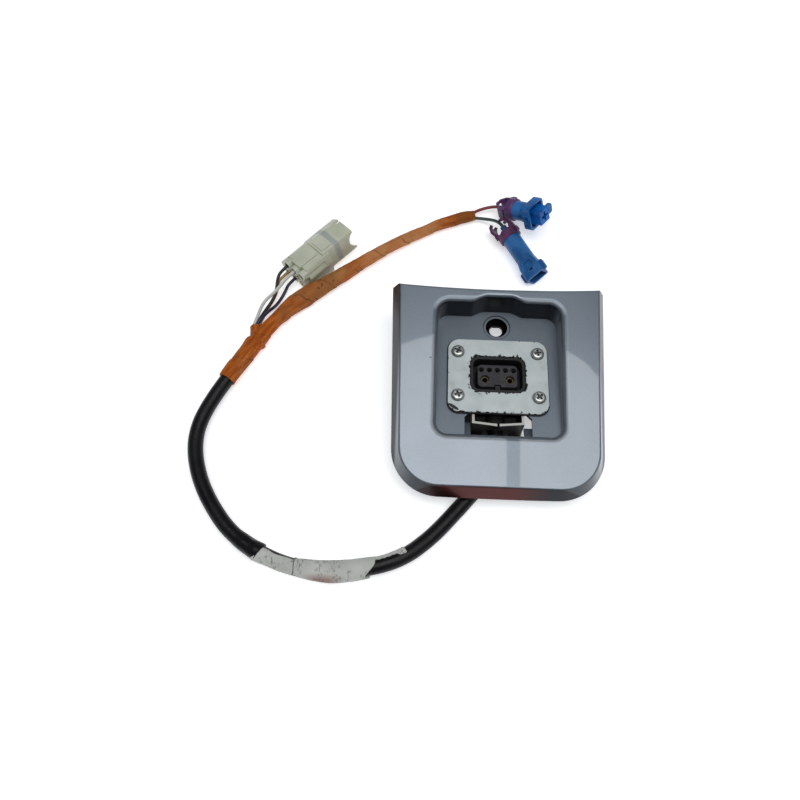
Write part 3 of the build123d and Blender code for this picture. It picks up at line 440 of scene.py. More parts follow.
def sleeve_surface(distance, angle):
    """The sleeve's skin, a little uneven, with cross folds where it is bunched."""
    folds = swelling(distance, 0.200, 0.008, 0.00016) * crumple(distance, angle, 900, 1.2, 3.0)
    return SLEEVE_D / 2 + 0.00006 * crumple(distance, angle, 120, 1.0, 1.0) + folds


sleeve_black = flecked(
    "sleeve_black", 55.0, (7, 7, 8), (15, 16, 16), (90.0, 0.28, 0.44), Specular_IOR_Level=0.20
)
roughen(sleeve_black, mottle(sleeve_black, 420.0), 0.00005)
sleeve = add_piece(
    "black_sleeve",
    wound_mesh(sleeve_frames, steady(0), steady(sleeve_length), sleeve_surface, 480),
    sleeve_black,
)
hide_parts("cable_sleeve")


def overlap_surface(distance, angle):
    """A wider sleeve end, wrinkled and flared towards its cut edge."""
    flare = 1 - share_of(distance, OVERLAP_START, FLARE_LENGTH)
    wave = crumple(distance, angle, 260, 1.4, 7.0) * FLARE_WAVE
    return OVERLAP_RADIUS + FLARE_HEIGHT * flare**0.7 + wave * flare**0.6


sleeve_overlap = add_piece(
    "sleeve_overlap",
    wound_mesh(
        sleeve_frames,
        lambda angle: OVERLAP_START + 0.0012 * math.cos(angle + 2.4),
        steady(OVERLAP_END),
        overlap_surface,
        34,
        inner=OVERLAP_INNER,
    ),
    sleeve_black,
)

# Paper tape
# Greyish white masking tape: a spindle of many turns with crinkled edges, a single torn layer
# beyond it, and a loose tail that runs on over the black sleeve.
paper = new_finish("paper_grey", Roughness=0.78, Specular_IOR_Level=0.25)
paper_spots = mottle(paper, 60.0, detail=5.0)
paper_base = clouded(paper, paper_spots, (176, 178, 172), (192, 194, 188))
paper_axes = axes(paper)
near_side = spread(paper, paper_axes["Y"], 1, 0, -0.1128, -0.1098)
pink_stretch = window(paper, paper_axes["X"], (-0.1085, -0.1010), (-0.0930, -0.0840))
pink_share = product(paper, pink_stretch, near_side)
crinkle_place = object_place(paper, (1.0, 0.28, 0.28))
crinkles = mottle(paper, 1500.0, 0, 1, 0.56, 0.70, 2.0, crinkle_place)
crinkle_share = product(paper, crinkles, patches(paper, 150.0, 0.48, 0.60))
# Painted shade: the paper is darker along its crinkles.
crinkle_shade = product(paper, crinkle_share, 0.75)
coat(paper, paper_base, (pink_share, (152, 128, 122)), (crinkle_shade, (105, 104, 100)))
roughen(paper, crinkle_share, 0.0005, 0.9)
WRAP_START, WRAP_END, WRAP_RADIUS, WRAP_SWELL, WRAP_HEIGHT = 0.1120, 0.1598, 0.00462, 0.00166, 0.0063
NARROW_START, NARROW_END, NARROW_RADIUS, NARROW_LIFT, WRAP_INNER = 0.1585, 0.1815, 0.00492, 0.0011, 0.0042
TAIL_START, TAIL_END, TAIL_BASE, TAIL_RADIUS = 0.0955, 0.1165, 0.0043, 0.00512


def above_table(radius, angle, height):
    """A cord's radius, flattened where its underside lies on the table."""
    return min(radius, height / max(0.001, -math.sin(angle)))


def wide_wrap_surface(distance, angle):
    """The spindle's swelling, rolled in at both ends, with cross crinkles."""
    share = share_of(distance, WRAP_START, WRAP_END - WRAP_START)
    swell = math.sin(math.pi * share**0.8) ** 0.55
    crinkle = crumple(distance, angle, 1300, 1.6, 11.0) * 0.00011
    slack = crumple(distance, angle, 90, 1.3, 5.0) * 0.0003
    return above_table(WRAP_RADIUS + (WRAP_SWELL + slack) * swell + crinkle, angle, WRAP_HEIGHT)


wide_wrap = add_piece(
    "paper_wide_wrap",
    wound_mesh(
        sleeve_frames,
        lambda angle: WRAP_START + 0.0042 * (1 - math.cos(angle)) + 0.0012 * math.sin(3 * angle),
        lambda angle: WRAP_END + 0.0008 * math.cos(angle - 0.6),
        wide_wrap_surface,
        110,
        inner=WRAP_INNER,
    ),
    paper,
)
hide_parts("paper_wrap")


def narrow_wrap_surface(distance, angle):
    """One loose layer, lifted at its torn end on the near side."""
    lifted = max(0, (distance - 0.176) / 0.009) * max(0, -math.cos(angle))
    slack = crumple(distance, angle, 120, 1.6, 23.0) * 0.0002
    sunk = 0.0006 * max(0, math.cos(angle - 0.25)) ** 3
    return NARROW_RADIUS + slack - sunk + NARROW_LIFT * lifted


narrow_wrap = add_piece(
    "paper_narrow_wrap",
    wound_mesh(
        sleeve_frames,
        steady(NARROW_START),
        lambda angle: NARROW_END + 0.0022 * max(0, -math.cos(angle)) + 0.0006 * math.sin(5 * angle),
        narrow_wrap_surface,
        60,
        inner=WRAP_INNER,
    ),
    paper,
)
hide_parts("paper_wrap_end")


def patch_mesh(frames, start, end, low_angle, high_angle, inner, outer, rows=24, columns=10):
    """A thin strip lying on a cord between two distances and two angles, closed all round."""
    mesh = bmesh.new()
    mesh.loops.layers.uv.new("around")
    skins = []
    for reach in (inner, outer):
        skin = []
        for row in range(rows + 1):
            distance = start + (end - start) * row / rows
            low, high = low_angle(distance), high_angle(distance)
            turns = [low + (high - low) * column / columns for column in range(columns + 1)]
            angles = [math.radians(turn) for turn in turns]
            places = [on_cord(frames, distance, a, reach(distance, a)) for a in angles]
            skin.append([mesh.verts.new(place) for place in places])
        skins.append(skin)
        for a, b in zip(skin, skin[1:]):
            for column in range(columns):
                mesh.faces.new([a[column], a[column + 1], b[column + 1], b[column]])
    low, high = skins
    for row in range(rows):
        for column in (0, columns):
            side = [low[row][column], low[row + 1][column]]
            mesh.faces.new([*side, high[row + 1][column], high[row][column]])
    for column in range(columns):
        for row in (0, rows):
            side = [low[row][column], low[row][column + 1]]
            mesh.faces.new([*side, high[row][column + 1], high[row][column]])
    return mesh


paper_tail = add_piece(
    "paper_tail",
    patch_mesh(
        sleeve_frames,
        TAIL_START,
        TAIL_END,
        lambda s: -22 + 12 * math.sin(s * 900),
        lambda s: 84 - 26 * share_of(s, 0.0985, 0.003) + 3 * math.sin(s * 2100),
        lambda s, a: TAIL_BASE,
        lambda s, a: TAIL_RADIUS + 0.00016 * crumple(s, a, 700, 1.0, 31.0),
        rows=40,
    ),
    paper,
)
# A dark ring painted as shade in the crease where the wide wrap meets the narrow one.
crease_shade = flecked("crease_shade", 900.0, (84, 82, 78), (126, 124, 118), Roughness=0.9)
roughen(crease_shade, mottle(crease_shade, 900.0), 0.00005)
wrap_crease = add_piece(
    "wrap_crease",
    wound_mesh(
        sleeve_frames,
        lambda angle: 0.1596 + 0.0006 * math.sin(2 * angle),
        lambda angle: 0.1602 + 0.0006 * math.sin(2 * angle),
        lambda s, a: 0.00499 + 0.00010 * math.sin(3 * a),
        2,
        inner=0.0044,
    ),
    crease_shade,
)
wrap_hole = add_piece(
    "wrap_hole",
    patch_mesh(
        sleeve_frames,
        0.1568,
        0.1586,
        steady(164),
        lambda s: 176 + 3 * math.sin(s * 4000),
        lambda s, a: 0.0046,
        lambda s, a: 0.00505,
        rows=6,
        columns=5,
    ),
    sleeve_black,
)

# Orange tape loom
# Cloth-backed orange tape wound in overlapping turns over the branch wires, creased lengthwise,
# paler along its crown as a painted highlight, darker along each turn's edge and towards its
# underside as painted shade, and dusty past its middle, where a thinner length begins.
LOOM_D, LOOM_HEIGHT, THINNER_FROM, THINNER_OVER, THINNER_BY = 0.0106, 0.0053, 0.095, 0.024, 0.0009
LOOM_ROUTE = [
    SLEEVE_ROUTE[-1],
    (-0.157, 0.027, 0.0054),
    (-0.1445, 0.049, 0.0054),
    (-0.129, 0.0675, 0.0054),
    (-0.109, 0.083, 0.0054),
    (-0.0905, 0.098, 0.0054),
]
LOOM_END_D = 0.0076
LOOM_END_ROUTE = [
    LOOM_ROUTE[-1],
    (-0.072, 0.113, 0.0054),
    (-0.0505, 0.127, 0.004),
    (-0.031, 0.1385, 0.004),
    (-0.012, 0.1445, 0.004),
]
TAPE_PITCH = 0.0193
loom_frames = frames_along(LOOM_ROUTE, 60)
loom_length = loom_frames[-1][0]
end_frames = frames_along(LOOM_END_ROUTE, 60)
end_length = end_frames[-1][0]


def tape_turns(distance, angle, pitch, step):
    """The small step that each turn of tape makes over the last."""
    turn = (distance / pitch + angle / math.tau) % 1.0
    return step * (turn - 0.5)


def loom_surface(distance, angle):
    """The wound loom: its turns, its long creases and its knots."""
    radius = LOOM_D / 2 - THINNER_BY * share_of(distance, THINNER_FROM, THINNER_OVER)
    radius += tape_turns(distance, angle, TAPE_PITCH, 0.00034)
    radius += 0.00075 * crumple(distance, angle, 45, 1.7, 2.0)
    radius += 0.00026 * crumple(distance, angle, 160, 3.4, 9.0)
    outer = max(0.0, -math.cos(angle))
    radius += swelling(distance, 0.029, 0.0035, 0.0006) * outer
    radius -= swelling(distance, 0.050, 0.011, 0.0008)
    radius += swelling(distance, 0.074, 0.012, 0.0006)
    radius += swelling(distance, 0.083, 0.007, 0.0005) * max(0.0, math.cos(angle))
    return above_table(radius, angle, LOOM_HEIGHT)


def loom_end_surface(distance, angle):
    """The thinner length, tapering out of the thick one."""
    radius = LOOM_END_D / 2 + 0.0006 * max(0.0, 1 - distance / 0.030)
    radius += tape_turns(distance, angle, TAPE_PITCH, 0.00026)
    radius += 0.00040 * crumple(distance, angle, 60, 1.6, 4.0)
    radius += 0.00020 * crumple(distance, angle, 170, 3.0, 14.0)
    return radius - swelling(distance, end_length, 0.004, 0.0004)


orange = new_finish("orange_tape", Specular_IOR_Level=0.12)
wound_place = add_node(orange, "UVMap", uv_map="around").outputs["UV"]
stretched = {"Vector": wound_place, "Scale": (9.0, 0.55, 1.0)}
long_place = add_node(orange, "Mapping", stretched).outputs["Vector"]
creases = mottle(orange, 1.6, 0, 1, 0.42, 0.62, 4.0, long_place)
orange_base = clouded(orange, creases, (152, 72, 14), (186, 100, 34))
tape_axes = axes(orange)
# Painted shade: grime and dark specks weigh towards the tape's underside.
low_shade_weight = spread(orange, tape_axes["Z"], 1.0, 0.25, 0.0015, 0.0085)
grime_and_low_shade = product(orange, patches(orange, 95.0, 0.50, 0.66, 5.0), low_shade_weight, 0.85)
# Painted highlight: paler patches along the crown.
crown_highlight_share = spread(orange, tape_axes["Z"], 0.0, 1.0, 0.0055, 0.0105)
pale = product(orange, patches(orange, 40.0, 0.46, 0.66, 4.0), crown_highlight_share, 0.75)
wound_axes = axes(orange, wound_place)
turns_along = reckon(orange, "DIVIDE", wound_axes["Y"], TAPE_PITCH * 100)
ragged = mottle(orange, 140.0, -0.05, 0.05)
turn_count = reckon(orange, "ADD", turns_along, wound_axes["X"], ragged)
turn_share = reckon(orange, "FRACT", turn_count, 0.0)
# Painted shade along the edge of each turn.
lap_shade_line = spread(orange, turn_share, 0.75, 0.0, 0.0, 0.07)
lap_shade = product(orange, lap_shade_line, patches(orange, 70.0, 0.44, 0.62))
specks = mottle(orange, 620.0, 0.0, 0.8, 0.66, 0.72, 2.0)
dust = mottle(orange, 55.0, 0.35, 1.0, 0.36, 0.60, 4.0)
dusty = window(orange, tape_axes["X"], (-0.1000, -0.0820), (-0.0420, -0.0300), 0.85)
dusty = product(orange, dusty, dust)
worn = window(orange, tape_axes["X"], (-0.1420, -0.1320), (-0.1060, -0.0920), 0.8)
worn = product(orange, worn, dust)
end_fold = spread(orange, tape_axes["X"], 0.0, 0.75, -0.0265, -0.0245)
worn_specks = mottle(orange, 420.0, 0.0, 0.9, 0.60, 0.66, 3.0)
lap_shade_and_specks = greatest(
    orange,
    lap_shade,
    product(orange, specks, low_shade_weight),
    product(orange, worn_specks, worn),
)
coat(
    orange,
    orange_base,
    (grime_and_low_shade, (84, 44, 18)),
    (pale, (178, 128, 80)),
    (dusty, (190, 132, 84)),
    (worn, (138, 92, 50)),
    (end_fold, (124, 74, 26)),
    (lap_shade_and_specks, (70, 36, 14)),
)
feed(orange, "Roughness", mottle(orange, 120.0, 0.50, 0.72))
weave = {"Vector": wound_place, "Scale": 9.0, "Distortion": 1.2, "Detail": 2.0}
threads = add_node(orange, "TexWave", weave, bands_direction="Y").outputs["Fac"]
threads = product(orange, threads, 0.25)
relief = reckon(orange, "ADD", mottle(orange, 380.0), threads)
roughen(orange, relief, 0.00012)

loom = add_piece(
    "orange_loom",
    wound_mesh(loom_frames, steady(0), steady(loom_length), loom_surface, 260, 64),
    orange,
)
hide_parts("loom_tape")
loom_end = add_piece(
    "orange_loom_end",
    wound_mesh(end_frames, steady(0), steady(end_length), loom_end_surface, 200, 56),
    orange,
)
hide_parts("loom_tape_end")

BRANCH_ROUTE = [(-0.1502, 0.0330, 0.0056), (-0.1512, 0.0384, 0.0058), (-0.1533, 0.0474, 0.0056)]
branch_frames = frames_along(BRANCH_ROUTE, 30)
branch_length = branch_frames[-1][0]
BRANCH_RADIUS, BRANCH_TAPER = 0.0050, 0.0017


def branch_surface(distance, angle):
    """The cone of tape at the root of the branch wires."""
    share = share_of(distance, 0, branch_length)
    return BRANCH_RADIUS - BRANCH_TAPER * share**0.8 + tape_turns(distance, angle, 0.0042, 0.0002)


branch = add_piece(
    "orange_branch",
    wound_mesh(branch_frames, steady(0), steady(branch_length), branch_surface, 40, 40),
    orange,
)
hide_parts("branch_tape")

# Ties on the loom
# Five turns of thin cord pulled tight round the tape just before the branch, each a raised
# ring, made as one row of rings along the loom.
TIE_COUNT, TIE_GAP, TIE_REACH, TIE_THICKNESS, TIE_START = 5, 0.0021, 0.0050, 0.00075, 0.0262


def tie_tree():
    """Rings in a row along Z, of a given count, gap, reach and thickness."""
    tree = bpy.data.node_groups.new("tie_rings", "GeometryNodeTree")
    face = tree.interface
    for name, kind, value in (
        ("Count", "NodeSocketInt", TIE_COUNT),
        ("Gap", "NodeSocketFloat", TIE_GAP),
        ("Reach", "NodeSocketFloat", TIE_REACH),
        ("Thickness", "NodeSocketFloat", TIE_THICKNESS),
        ("Finish", "NodeSocketMaterial", None),
    ):
        socket = face.new_socket(name, in_out="INPUT", socket_type=kind)
        if value is not None:
            socket.default_value = value
    face.new_socket("Geometry", in_out="OUTPUT", socket_type="NodeSocketGeometry")
    sizes = node_in(tree, "NodeGroupInput").outputs
    offset = node_in(tree, "ShaderNodeCombineXYZ", {"Z": sizes["Gap"]}).outputs[0]
    line = {"Count": sizes["Count"], "Offset": offset}
    row = node_in(tree, "GeometryNodeMeshLine", line).outputs["Mesh"]
    half = {0: sizes["Thickness"], 1: 0.5}
    half = node_in(tree, "ShaderNodeMath", half, operation="MULTIPLY").outputs[0]
    circles = []
    for steps, radius in ((48, sizes["Reach"]), (10, half)):
        circle = {"Resolution": steps, "Radius": radius}
        made = node_in(tree, "GeometryNodeCurvePrimitiveCircle", circle)
        circles.append(made.outputs["Curve"])
    ring = {"Curve": circles[0], "Profile Curve": circles[1]}
    ring = node_in(tree, "GeometryNodeCurveToMesh", ring).outputs["Mesh"]
    limits = {"Min": (-0.05, -0.05, -3.0), "Max": (0.05, 0.05, 3.0), "Seed": 4}
    skew = node_in(tree, "FunctionNodeRandomValue", limits, data_type="FLOAT_VECTOR")
    rings = {"Points": row, "Instance": ring, "Rotation": skew.outputs["Value"]}
    rings = node_in(tree, "GeometryNodeInstanceOnPoints", rings).outputs["Instances"]
    real = node_in(tree, "GeometryNodeRealizeInstances", {"Geometry": rings}).outputs["Geometry"]
    paint = {"Geometry": real, "Material": sizes["Finish"]}
    paint = node_in(tree, "GeometryNodeSetMaterial", paint).outputs["Geometry"]
    node_in(tree, "NodeGroupOutput", {"Geometry": paint})
    return tree


def grow(tree, **sizes):
    """The mesh that a tree makes with the given sizes."""
    seed = bpy.data.objects.new("seed", bpy.data.meshes.new("seed"))
    bpy.context.scene.collection.objects.link(seed)
    modifier = seed.modifiers.new("grow", "NODES")
    modifier.node_group = tree
    names = {i.name: i.identifier for i in tree.interface.items_tree if i.in_out == "INPUT"}
    for name, value in sizes.items():
        modifier[names[name]] = value
    reading = bpy.context.evaluated_depsgraph_get()
    mesh = bpy.data.meshes.new_from_object(seed.evaluated_get(reading))
    bpy.data.objects.remove(seed)
    return mesh


tie_mesh = grow(tie_tree(), Count=TIE_COUNT, Gap=TIE_GAP, Reach=TIE_REACH, Finish=orange)
tie_place, tie_side, tie_top = at_distance(loom_frames, TIE_START)
tie_turn = Matrix((tie_side, -tie_top, tie_top.cross(tie_side))).transposed()
tie_mesh.transform(Matrix.Translation(tie_place) @ tie_turn.to_4x4())
ties = add_piece("loom_ties", tie_mesh, orange)


def round_edges(piece, width, segments, angle, miter="MITER_SHARP"):
    """Rounds the edges, where they have a width, and keeps flat faces flat in the light."""
    if width:
        rounding = piece.modifiers.new("edges", "BEVEL")
        rounding.width = width
        rounding.segments = segments
        rounding.limit_method = "ANGLE"
        rounding.angle_limit = math.radians(angle)
        rounding.miter_outer = miter
    piece.modifiers.new("settle", "WEIGHTED_NORMAL").keep_sharp = True


def finished(node, finish, edge=0.00025, segments=2, angle=32):
    """The CAD node's own shape with merged corners, rounded edges and a finish."""
    source = frame["nodes"][node]
    mesh = bmesh.new()
    mesh.from_mesh(source.data)
    bmesh.ops.remove_doubles(mesh, verts=mesh.verts, dist=0.000002)
    bmesh.ops.dissolve_degenerate(mesh, edges=mesh.edges, dist=0.000002)
    flat = math.radians(0.4)
    bmesh.ops.dissolve_limit(mesh, angle_limit=flat, verts=mesh.verts, edges=mesh.edges)
    name = node + "_finished"
    piece = add_piece(name, settled(name, mesh), finish, source["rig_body"], angle)
    round_edges(piece, edge, segments, angle, "MITER_ARC")
    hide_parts(node)
    return piece


def own_place(material, at, turns, size=(1, 1, 1)):
    """Coordinates along axes of their own, from a middle, turned and measured in a size."""
    place = add_node(material, "TexCoord").outputs["Object"]
    sockets = {"Vector": place, "Location": at, "Rotation": turns, "Scale": size}
    return add_node(material, "Mapping", sockets, vector_type="TEXTURE").outputs["Vector"]


SEALED_AT, SEALED_TURN = (-0.1315, 0.086, 0.0092), math.radians(48.5)
SEALED_FRAME = Matrix.Translation(SEALED_AT) @ Matrix.Rotation(SEALED_TURN, 4, "Z")
nylon = new_finish(
    "natural_nylon",
    Roughness=0.36,
    Subsurface_Weight=0.35,
    Subsurface_Scale=0.004,
    Subsurface_Radius=(1.0, 0.95, 0.75),
    IOR=1.5,
)
nylon_axes = axes(nylon, own_place(nylon, SEALED_AT, (0, 0, SEALED_TURN)))
nylon_base = clouded(nylon, mottle(nylon, 70.0), (182, 186, 166), (198, 200, 182))
# Painted shade: the housing darkens towards its own -Y side.
nylon_side_shade = spread(nylon, nylon_axes["Y"], 0.55, 0.0, -0.0118, -0.0060)
ring_share = window(nylon, nylon_axes["X"], (0.0295, 0.0312), (0.0338, 0.0352), 0.5)
coat(nylon, nylon_base, (nylon_side_shade, (162, 158, 134)), (ring_share, (120, 130, 138)))
roughen(nylon, mottle(nylon, 300.0), 0.00004)
SEALED_SECTIONS = {
    "rear": [
        (-0.0118, -0.0082), (-0.0118, 0.0016), (-0.0082, 0.0078), (0.0086, 0.0078),
        (0.0108, 0.0052), (0.0108, -0.0066), (0.0088, -0.0084), (-0.0100, -0.0088),
    ],
    "front": [
        (-0.0118, -0.0032), (-0.0066, 0.0090), (0.0066, 0.0090), (0.0118, 0.0048),
        (0.0118, -0.0044), (0.0062, -0.0090), (-0.0062, -0.0090), (-0.0108, -0.0056),
    ],
    "mouth": [
        (-0.0098, -0.0030), (-0.0056, 0.0073), (0.0058, 0.0073), (0.0101, 0.0041),
        (0.0101, -0.0037), (0.0055, -0.0073), (-0.0054, -0.0073), (-0.0092, -0.0048),
    ],
    "spine": [(-0.0036, 0.0060), (-0.0036, 0.0088), (0.0046, 0.0088), (0.0046, 0.0060)],
    "rib": [(-0.0050, 0.0078), (-0.0050, 0.0099), (0.0040, 0.0099), (0.0040, 0.0078)],
    "rail": [(-0.0122, -0.0050), (-0.0122, -0.0030), (-0.0104, -0.0004), (-0.0090, -0.0030)],
    "slot": [(0.0044, 0.0050), (0.0044, 0.0120), (0.0058, 0.0120), (0.0058, 0.0050)],
    "groove": [(-0.0104, 0.0062), (-0.0088, 0.0046), (-0.0112, 0.0024), (-0.0126, 0.0040)],
}
ENTRY_GAP, ENTRY_RISE, ENTRY_RADIUS, ENTRY_HOLE, PEG_RADIUS = 0.0067, 0.0036, 0.00345, 0.0023, 0.0036
ENTRIES = [(ENTRY_GAP * column, ENTRY_RISE * row) for row in (1, -1) for column in (1, 0, -1)]


def prism(section, start, end):
    """A closed solid with one section along the connector's own length."""
    if isinstance(section, str):
        section = SEALED_SECTIONS[section]
    mesh = bmesh.new()
    rows = [[mesh.verts.new((x, y, z)) for y, z in section] for x in (start, end)]
    mesh.faces.new(rows[0])
    mesh.faces.new(list(reversed(rows[1])))
    for step in range(len(section)):
        following = (step + 1) % len(section)
        mesh.faces.new([rows[0][step], rows[1][step], rows[1][following], rows[0][following]])
    bmesh.ops.recalc_face_normals(mesh, faces=mesh.faces)
    return mesh


def round_section(radius, y, z, steps=28):
    """A circle as a section."""
    turns = [math.tau * step / steps for step in range(steps)]
    return [(y + radius * math.cos(turn), z + radius * math.sin(turn)) for turn in turns]


def as_object(name, mesh):
    """A passing helper object for the joining and cutting of solids."""
    holder = bpy.data.objects.new(name, settled(name, mesh))
    bpy.context.scene.collection.objects.link(holder)
    return holder


def shaped(base, changes):
    """One mesh from a solid that other solids are joined to or cut from, in order."""
    helpers = [as_object("base", base)]
    for operation, tool in changes:
        helper = as_object("tool", tool)
        step = helpers[0].modifiers.new("step", "BOOLEAN")
        step.operation = operation
        step.solver = "EXACT"
        step.object = helper
        helpers.append(helper)
    reading = bpy.context.evaluated_depsgraph_get()
    mesh = bpy.data.meshes.new_from_object(helpers[0].evaluated_get(reading))
    for helper in helpers:
        bpy.data.objects.remove(helper)
    return mesh


BITE_AT, BITE_LEAN, BITE_RADIUS, BITE_LENGTH = (0.0482, -0.0080, 0.0016), 64, 0.0056, 0.0400
bite = bmesh.new()
bmesh.ops.create_cone(
    bite,
    cap_ends=True,
    segments=40,
    radius1=BITE_RADIUS,
    radius2=BITE_RADIUS,
    depth=BITE_LENGTH,
    matrix=Matrix.Translation(BITE_AT) @ Matrix.Rotation(math.radians(BITE_LEAN), 4, "X"),
)
entry_tubes = [prism(round_section(ENTRY_RADIUS, y, z), 0.0, 0.0060) for y, z in ENTRIES]
entry_holes = [prism(round_section(ENTRY_HOLE, y, z), -0.001, 0.0090) for y, z in ENTRIES]
REAR_START, REAR_END, FRONT_START, FRONT_END, HOUSING_EDGE = 0.0045, 0.0245, 0.0200, 0.0470, 0.0007
MOUTH_START, PAST_FRONT, SLOT_START = 0.0270, 0.0480, 0.0438
changes = [
    ("UNION", prism("front", FRONT_START, FRONT_END)),
    ("UNION", prism("spine", 0.0030, 0.0190)),
    ("UNION", prism("rib", 0.0215, 0.0300)),
    ("UNION", prism("rail", 0.0060, 0.0240)),
    *(("UNION", tube) for tube in entry_tubes),
    ("UNION", prism(round_section(PEG_RADIUS, 0.0088, 0.0016), 0.0, 0.0150)),
    *(("DIFFERENCE", hole) for hole in entry_holes),
    ("DIFFERENCE", prism("mouth", MOUTH_START, PAST_FRONT)),
    ("DIFFERENCE", bite),
    ("DIFFERENCE", prism("slot", SLOT_START, PAST_FRONT)),
    ("DIFFERENCE", prism("groove", 0.0020, 0.0190)),
]
housing_mesh = shaped(prism("rear", REAR_START, REAR_END), changes)
housing_mesh.transform(SEALED_FRAME)
housing = add_piece("nylon_housing", housing_mesh, nylon, sharp=30)
round_edges(housing, HOUSING_EDGE, 3, 25)
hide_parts("sealed_housing")
seal_blue = flecked("pale_blue_seal", 200.0, (126, 142, 160), (146, 160, 176), Roughness=0.5)
ring_outer, ring_inner = (
    [(size * y, size * z) for y, z in SEALED_SECTIONS["mouth"]] for size in (0.975, 0.84)
)
ring_cut = ("DIFFERENCE", prism(ring_inner, 0.0290, 0.0350))
ring_mesh = shaped(prism(ring_outer, 0.0302, 0.0338), [ring_cut])
ring_mesh.transform(SEALED_FRAME)
sealed_ring = add_piece("mouth_ring", ring_mesh, seal_blue, sharp=30)
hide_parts("mouth_seal")
seal_white = flecked("white_seal", 200.0, (172, 168, 150), (190, 186, 168), Roughness=0.55)
sealed_plugs = finished("wire_seals", seal_white, 0)
tin_rough = (900.0, 0.28, 0.45)
tinned = flecked("tinned_copper", 700.0, (168, 160, 140), (196, 190, 176), tin_rough, Metallic=1.0)
sealed_blades = finished("sealed_pins", tinned, 0)

# Branch wires
# Four thin insulated wires from the branch to the sealed connector, pale grey over black,
# dark violet and tan beneath, in smooth extruded PVC.
WIRE_D = 0.0021
BRANCH_WIRES = {
    "wire_grey": (
        (196, 197, 190), (0.0014, 0.0005), ENTRIES[1], 0.0591,
        [(-0.1528, 0.0532, 0.0070), (-0.1511, 0.0614, 0.0072), (-0.1485, 0.0670, 0.0076),
         (-0.1436, 0.0716, 0.0086), (-0.1393, 0.0770, 0.0102)],
    ),
    "wire_black": (
        (14, 14, 16), (0.0003, -0.0014), ENTRIES[0], 0.0595,
        [(-0.1512, 0.0541, 0.0052), (-0.1481, 0.0612, 0.0048), (-0.1446, 0.0680, 0.0050),
         (-0.1425, 0.0745, 0.0066), (-0.1422, 0.0812, 0.0102)],
    ),
    "wire_violet": (
        (38, 30, 62), (-0.0005, 0.0015), ENTRIES[4], 0.0564,
        [(-0.1494, 0.0529, 0.0076), (-0.1470, 0.0580, 0.0062), (-0.1425, 0.0655, 0.0026),
         (-0.1396, 0.0722, 0.0016), (-0.1374, 0.0775, 0.0024)],
    ),
    "wire_yellow": (
        (176, 146, 92), (-0.0017, -0.0006), ENTRIES[3], 0.0599,
        [(-0.1502, 0.0545, 0.0030), (-0.1486, 0.0625, 0.0014), (-0.1452, 0.0702, 0.0012),
         (-0.1433, 0.0772, 0.0014), (-0.1428, 0.0835, 0.0034)],
    ),
}


def wire_finish(name, colour):
    """Smooth extruded insulation of one colour, slightly dusty."""
    dusty = tuple(min(255, part * 0.92 + 14) for part in colour)
    material = flecked(name, 260.0, colour, dusty, Roughness=0.4, Specular_IOR_Level=0.45)
    roughen(material, mottle(material, 900.0), 0.00002)
    return material


def sealed_point(x, y, z):
    """A point on the sealed connector's own axes."""
    return tuple(SEALED_FRAME @ Vector((x, y, z)))


branch_end = Vector(BRANCH_ROUTE[-1])
branch_out = (branch_end - Vector(BRANCH_ROUTE[-2])).normalized()
branch_left = Vector((0, 0, 1)).cross(branch_out).normalized()
branch_up = branch_out.cross(branch_left)
for name, (colour, offset, entry, length, middle) in BRANCH_WIRES.items():
    start = branch_end + branch_left * offset[0] + branch_up * offset[1]
    route = [tuple(start), *middle, sealed_point(-0.0055, *entry), sealed_point(0.012, *entry)]
    run = route_curve(name + "_run", route, 16, WIRE_D / 2)
    wire = add_piece(name + "_run", run, wire_finish(name, colour))
    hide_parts(name)

# Two single-wire connectors
# Round blue barrels with a ribbed seal and a purple retainer whose two flaps turn on pins. One
# ends in a square frame with a brighter block and a looped tab, the other in an open mouth.
SMALL_WIRE_D = 0.0022
RED_ROUTE_TAIL = [(-0.0125, 0.1463, 0.0044), (-0.0078, 0.1498, 0.0043)]
GREEN_ROUTE_TAIL = [(-0.0113, 0.1426, 0.0034), (-0.002, 0.1416, 0.004)]
PLUG_AT, PLUG_TURNS = (0.0129, 0.1459, 0.0103), (-36.2, 26.0, -6.0)
MOUTH_AT, MOUTH_TURNS = (0.0105, 0.1253, 0.0093), (-60.0, -2.0, 40.5)


def moulded(name, colour, lighter, rough=0.34):
    """A glossy moulded plastic with faint flow marks and scuffs."""
    material = flecked(
        name,
        110.0,
        colour,
        lighter,
        (260.0, rough - 0.05, rough + 0.12),
        (0.40, 0.62, 4.0),
        Specular_IOR_Level=0.24,
        Subsurface_Weight=0.05,
        Subsurface_Scale=0.002,
    )
    roughen(material, mottle(material, 700.0), 0.00003)
    return material


def connector_point(at, turns, x, y=0.0):
    """A point on a small connector's own axes."""
    turn = (
        Matrix.Rotation(math.radians(turns[0]), 3, "Z")
        @ Matrix.Rotation(math.radians(-turns[1]), 3, "Y")
        @ Matrix.Rotation(math.radians(turns[2]), 3, "X")
    )
    return tuple(Vector(at) + turn @ Vector((x, y, 0)))


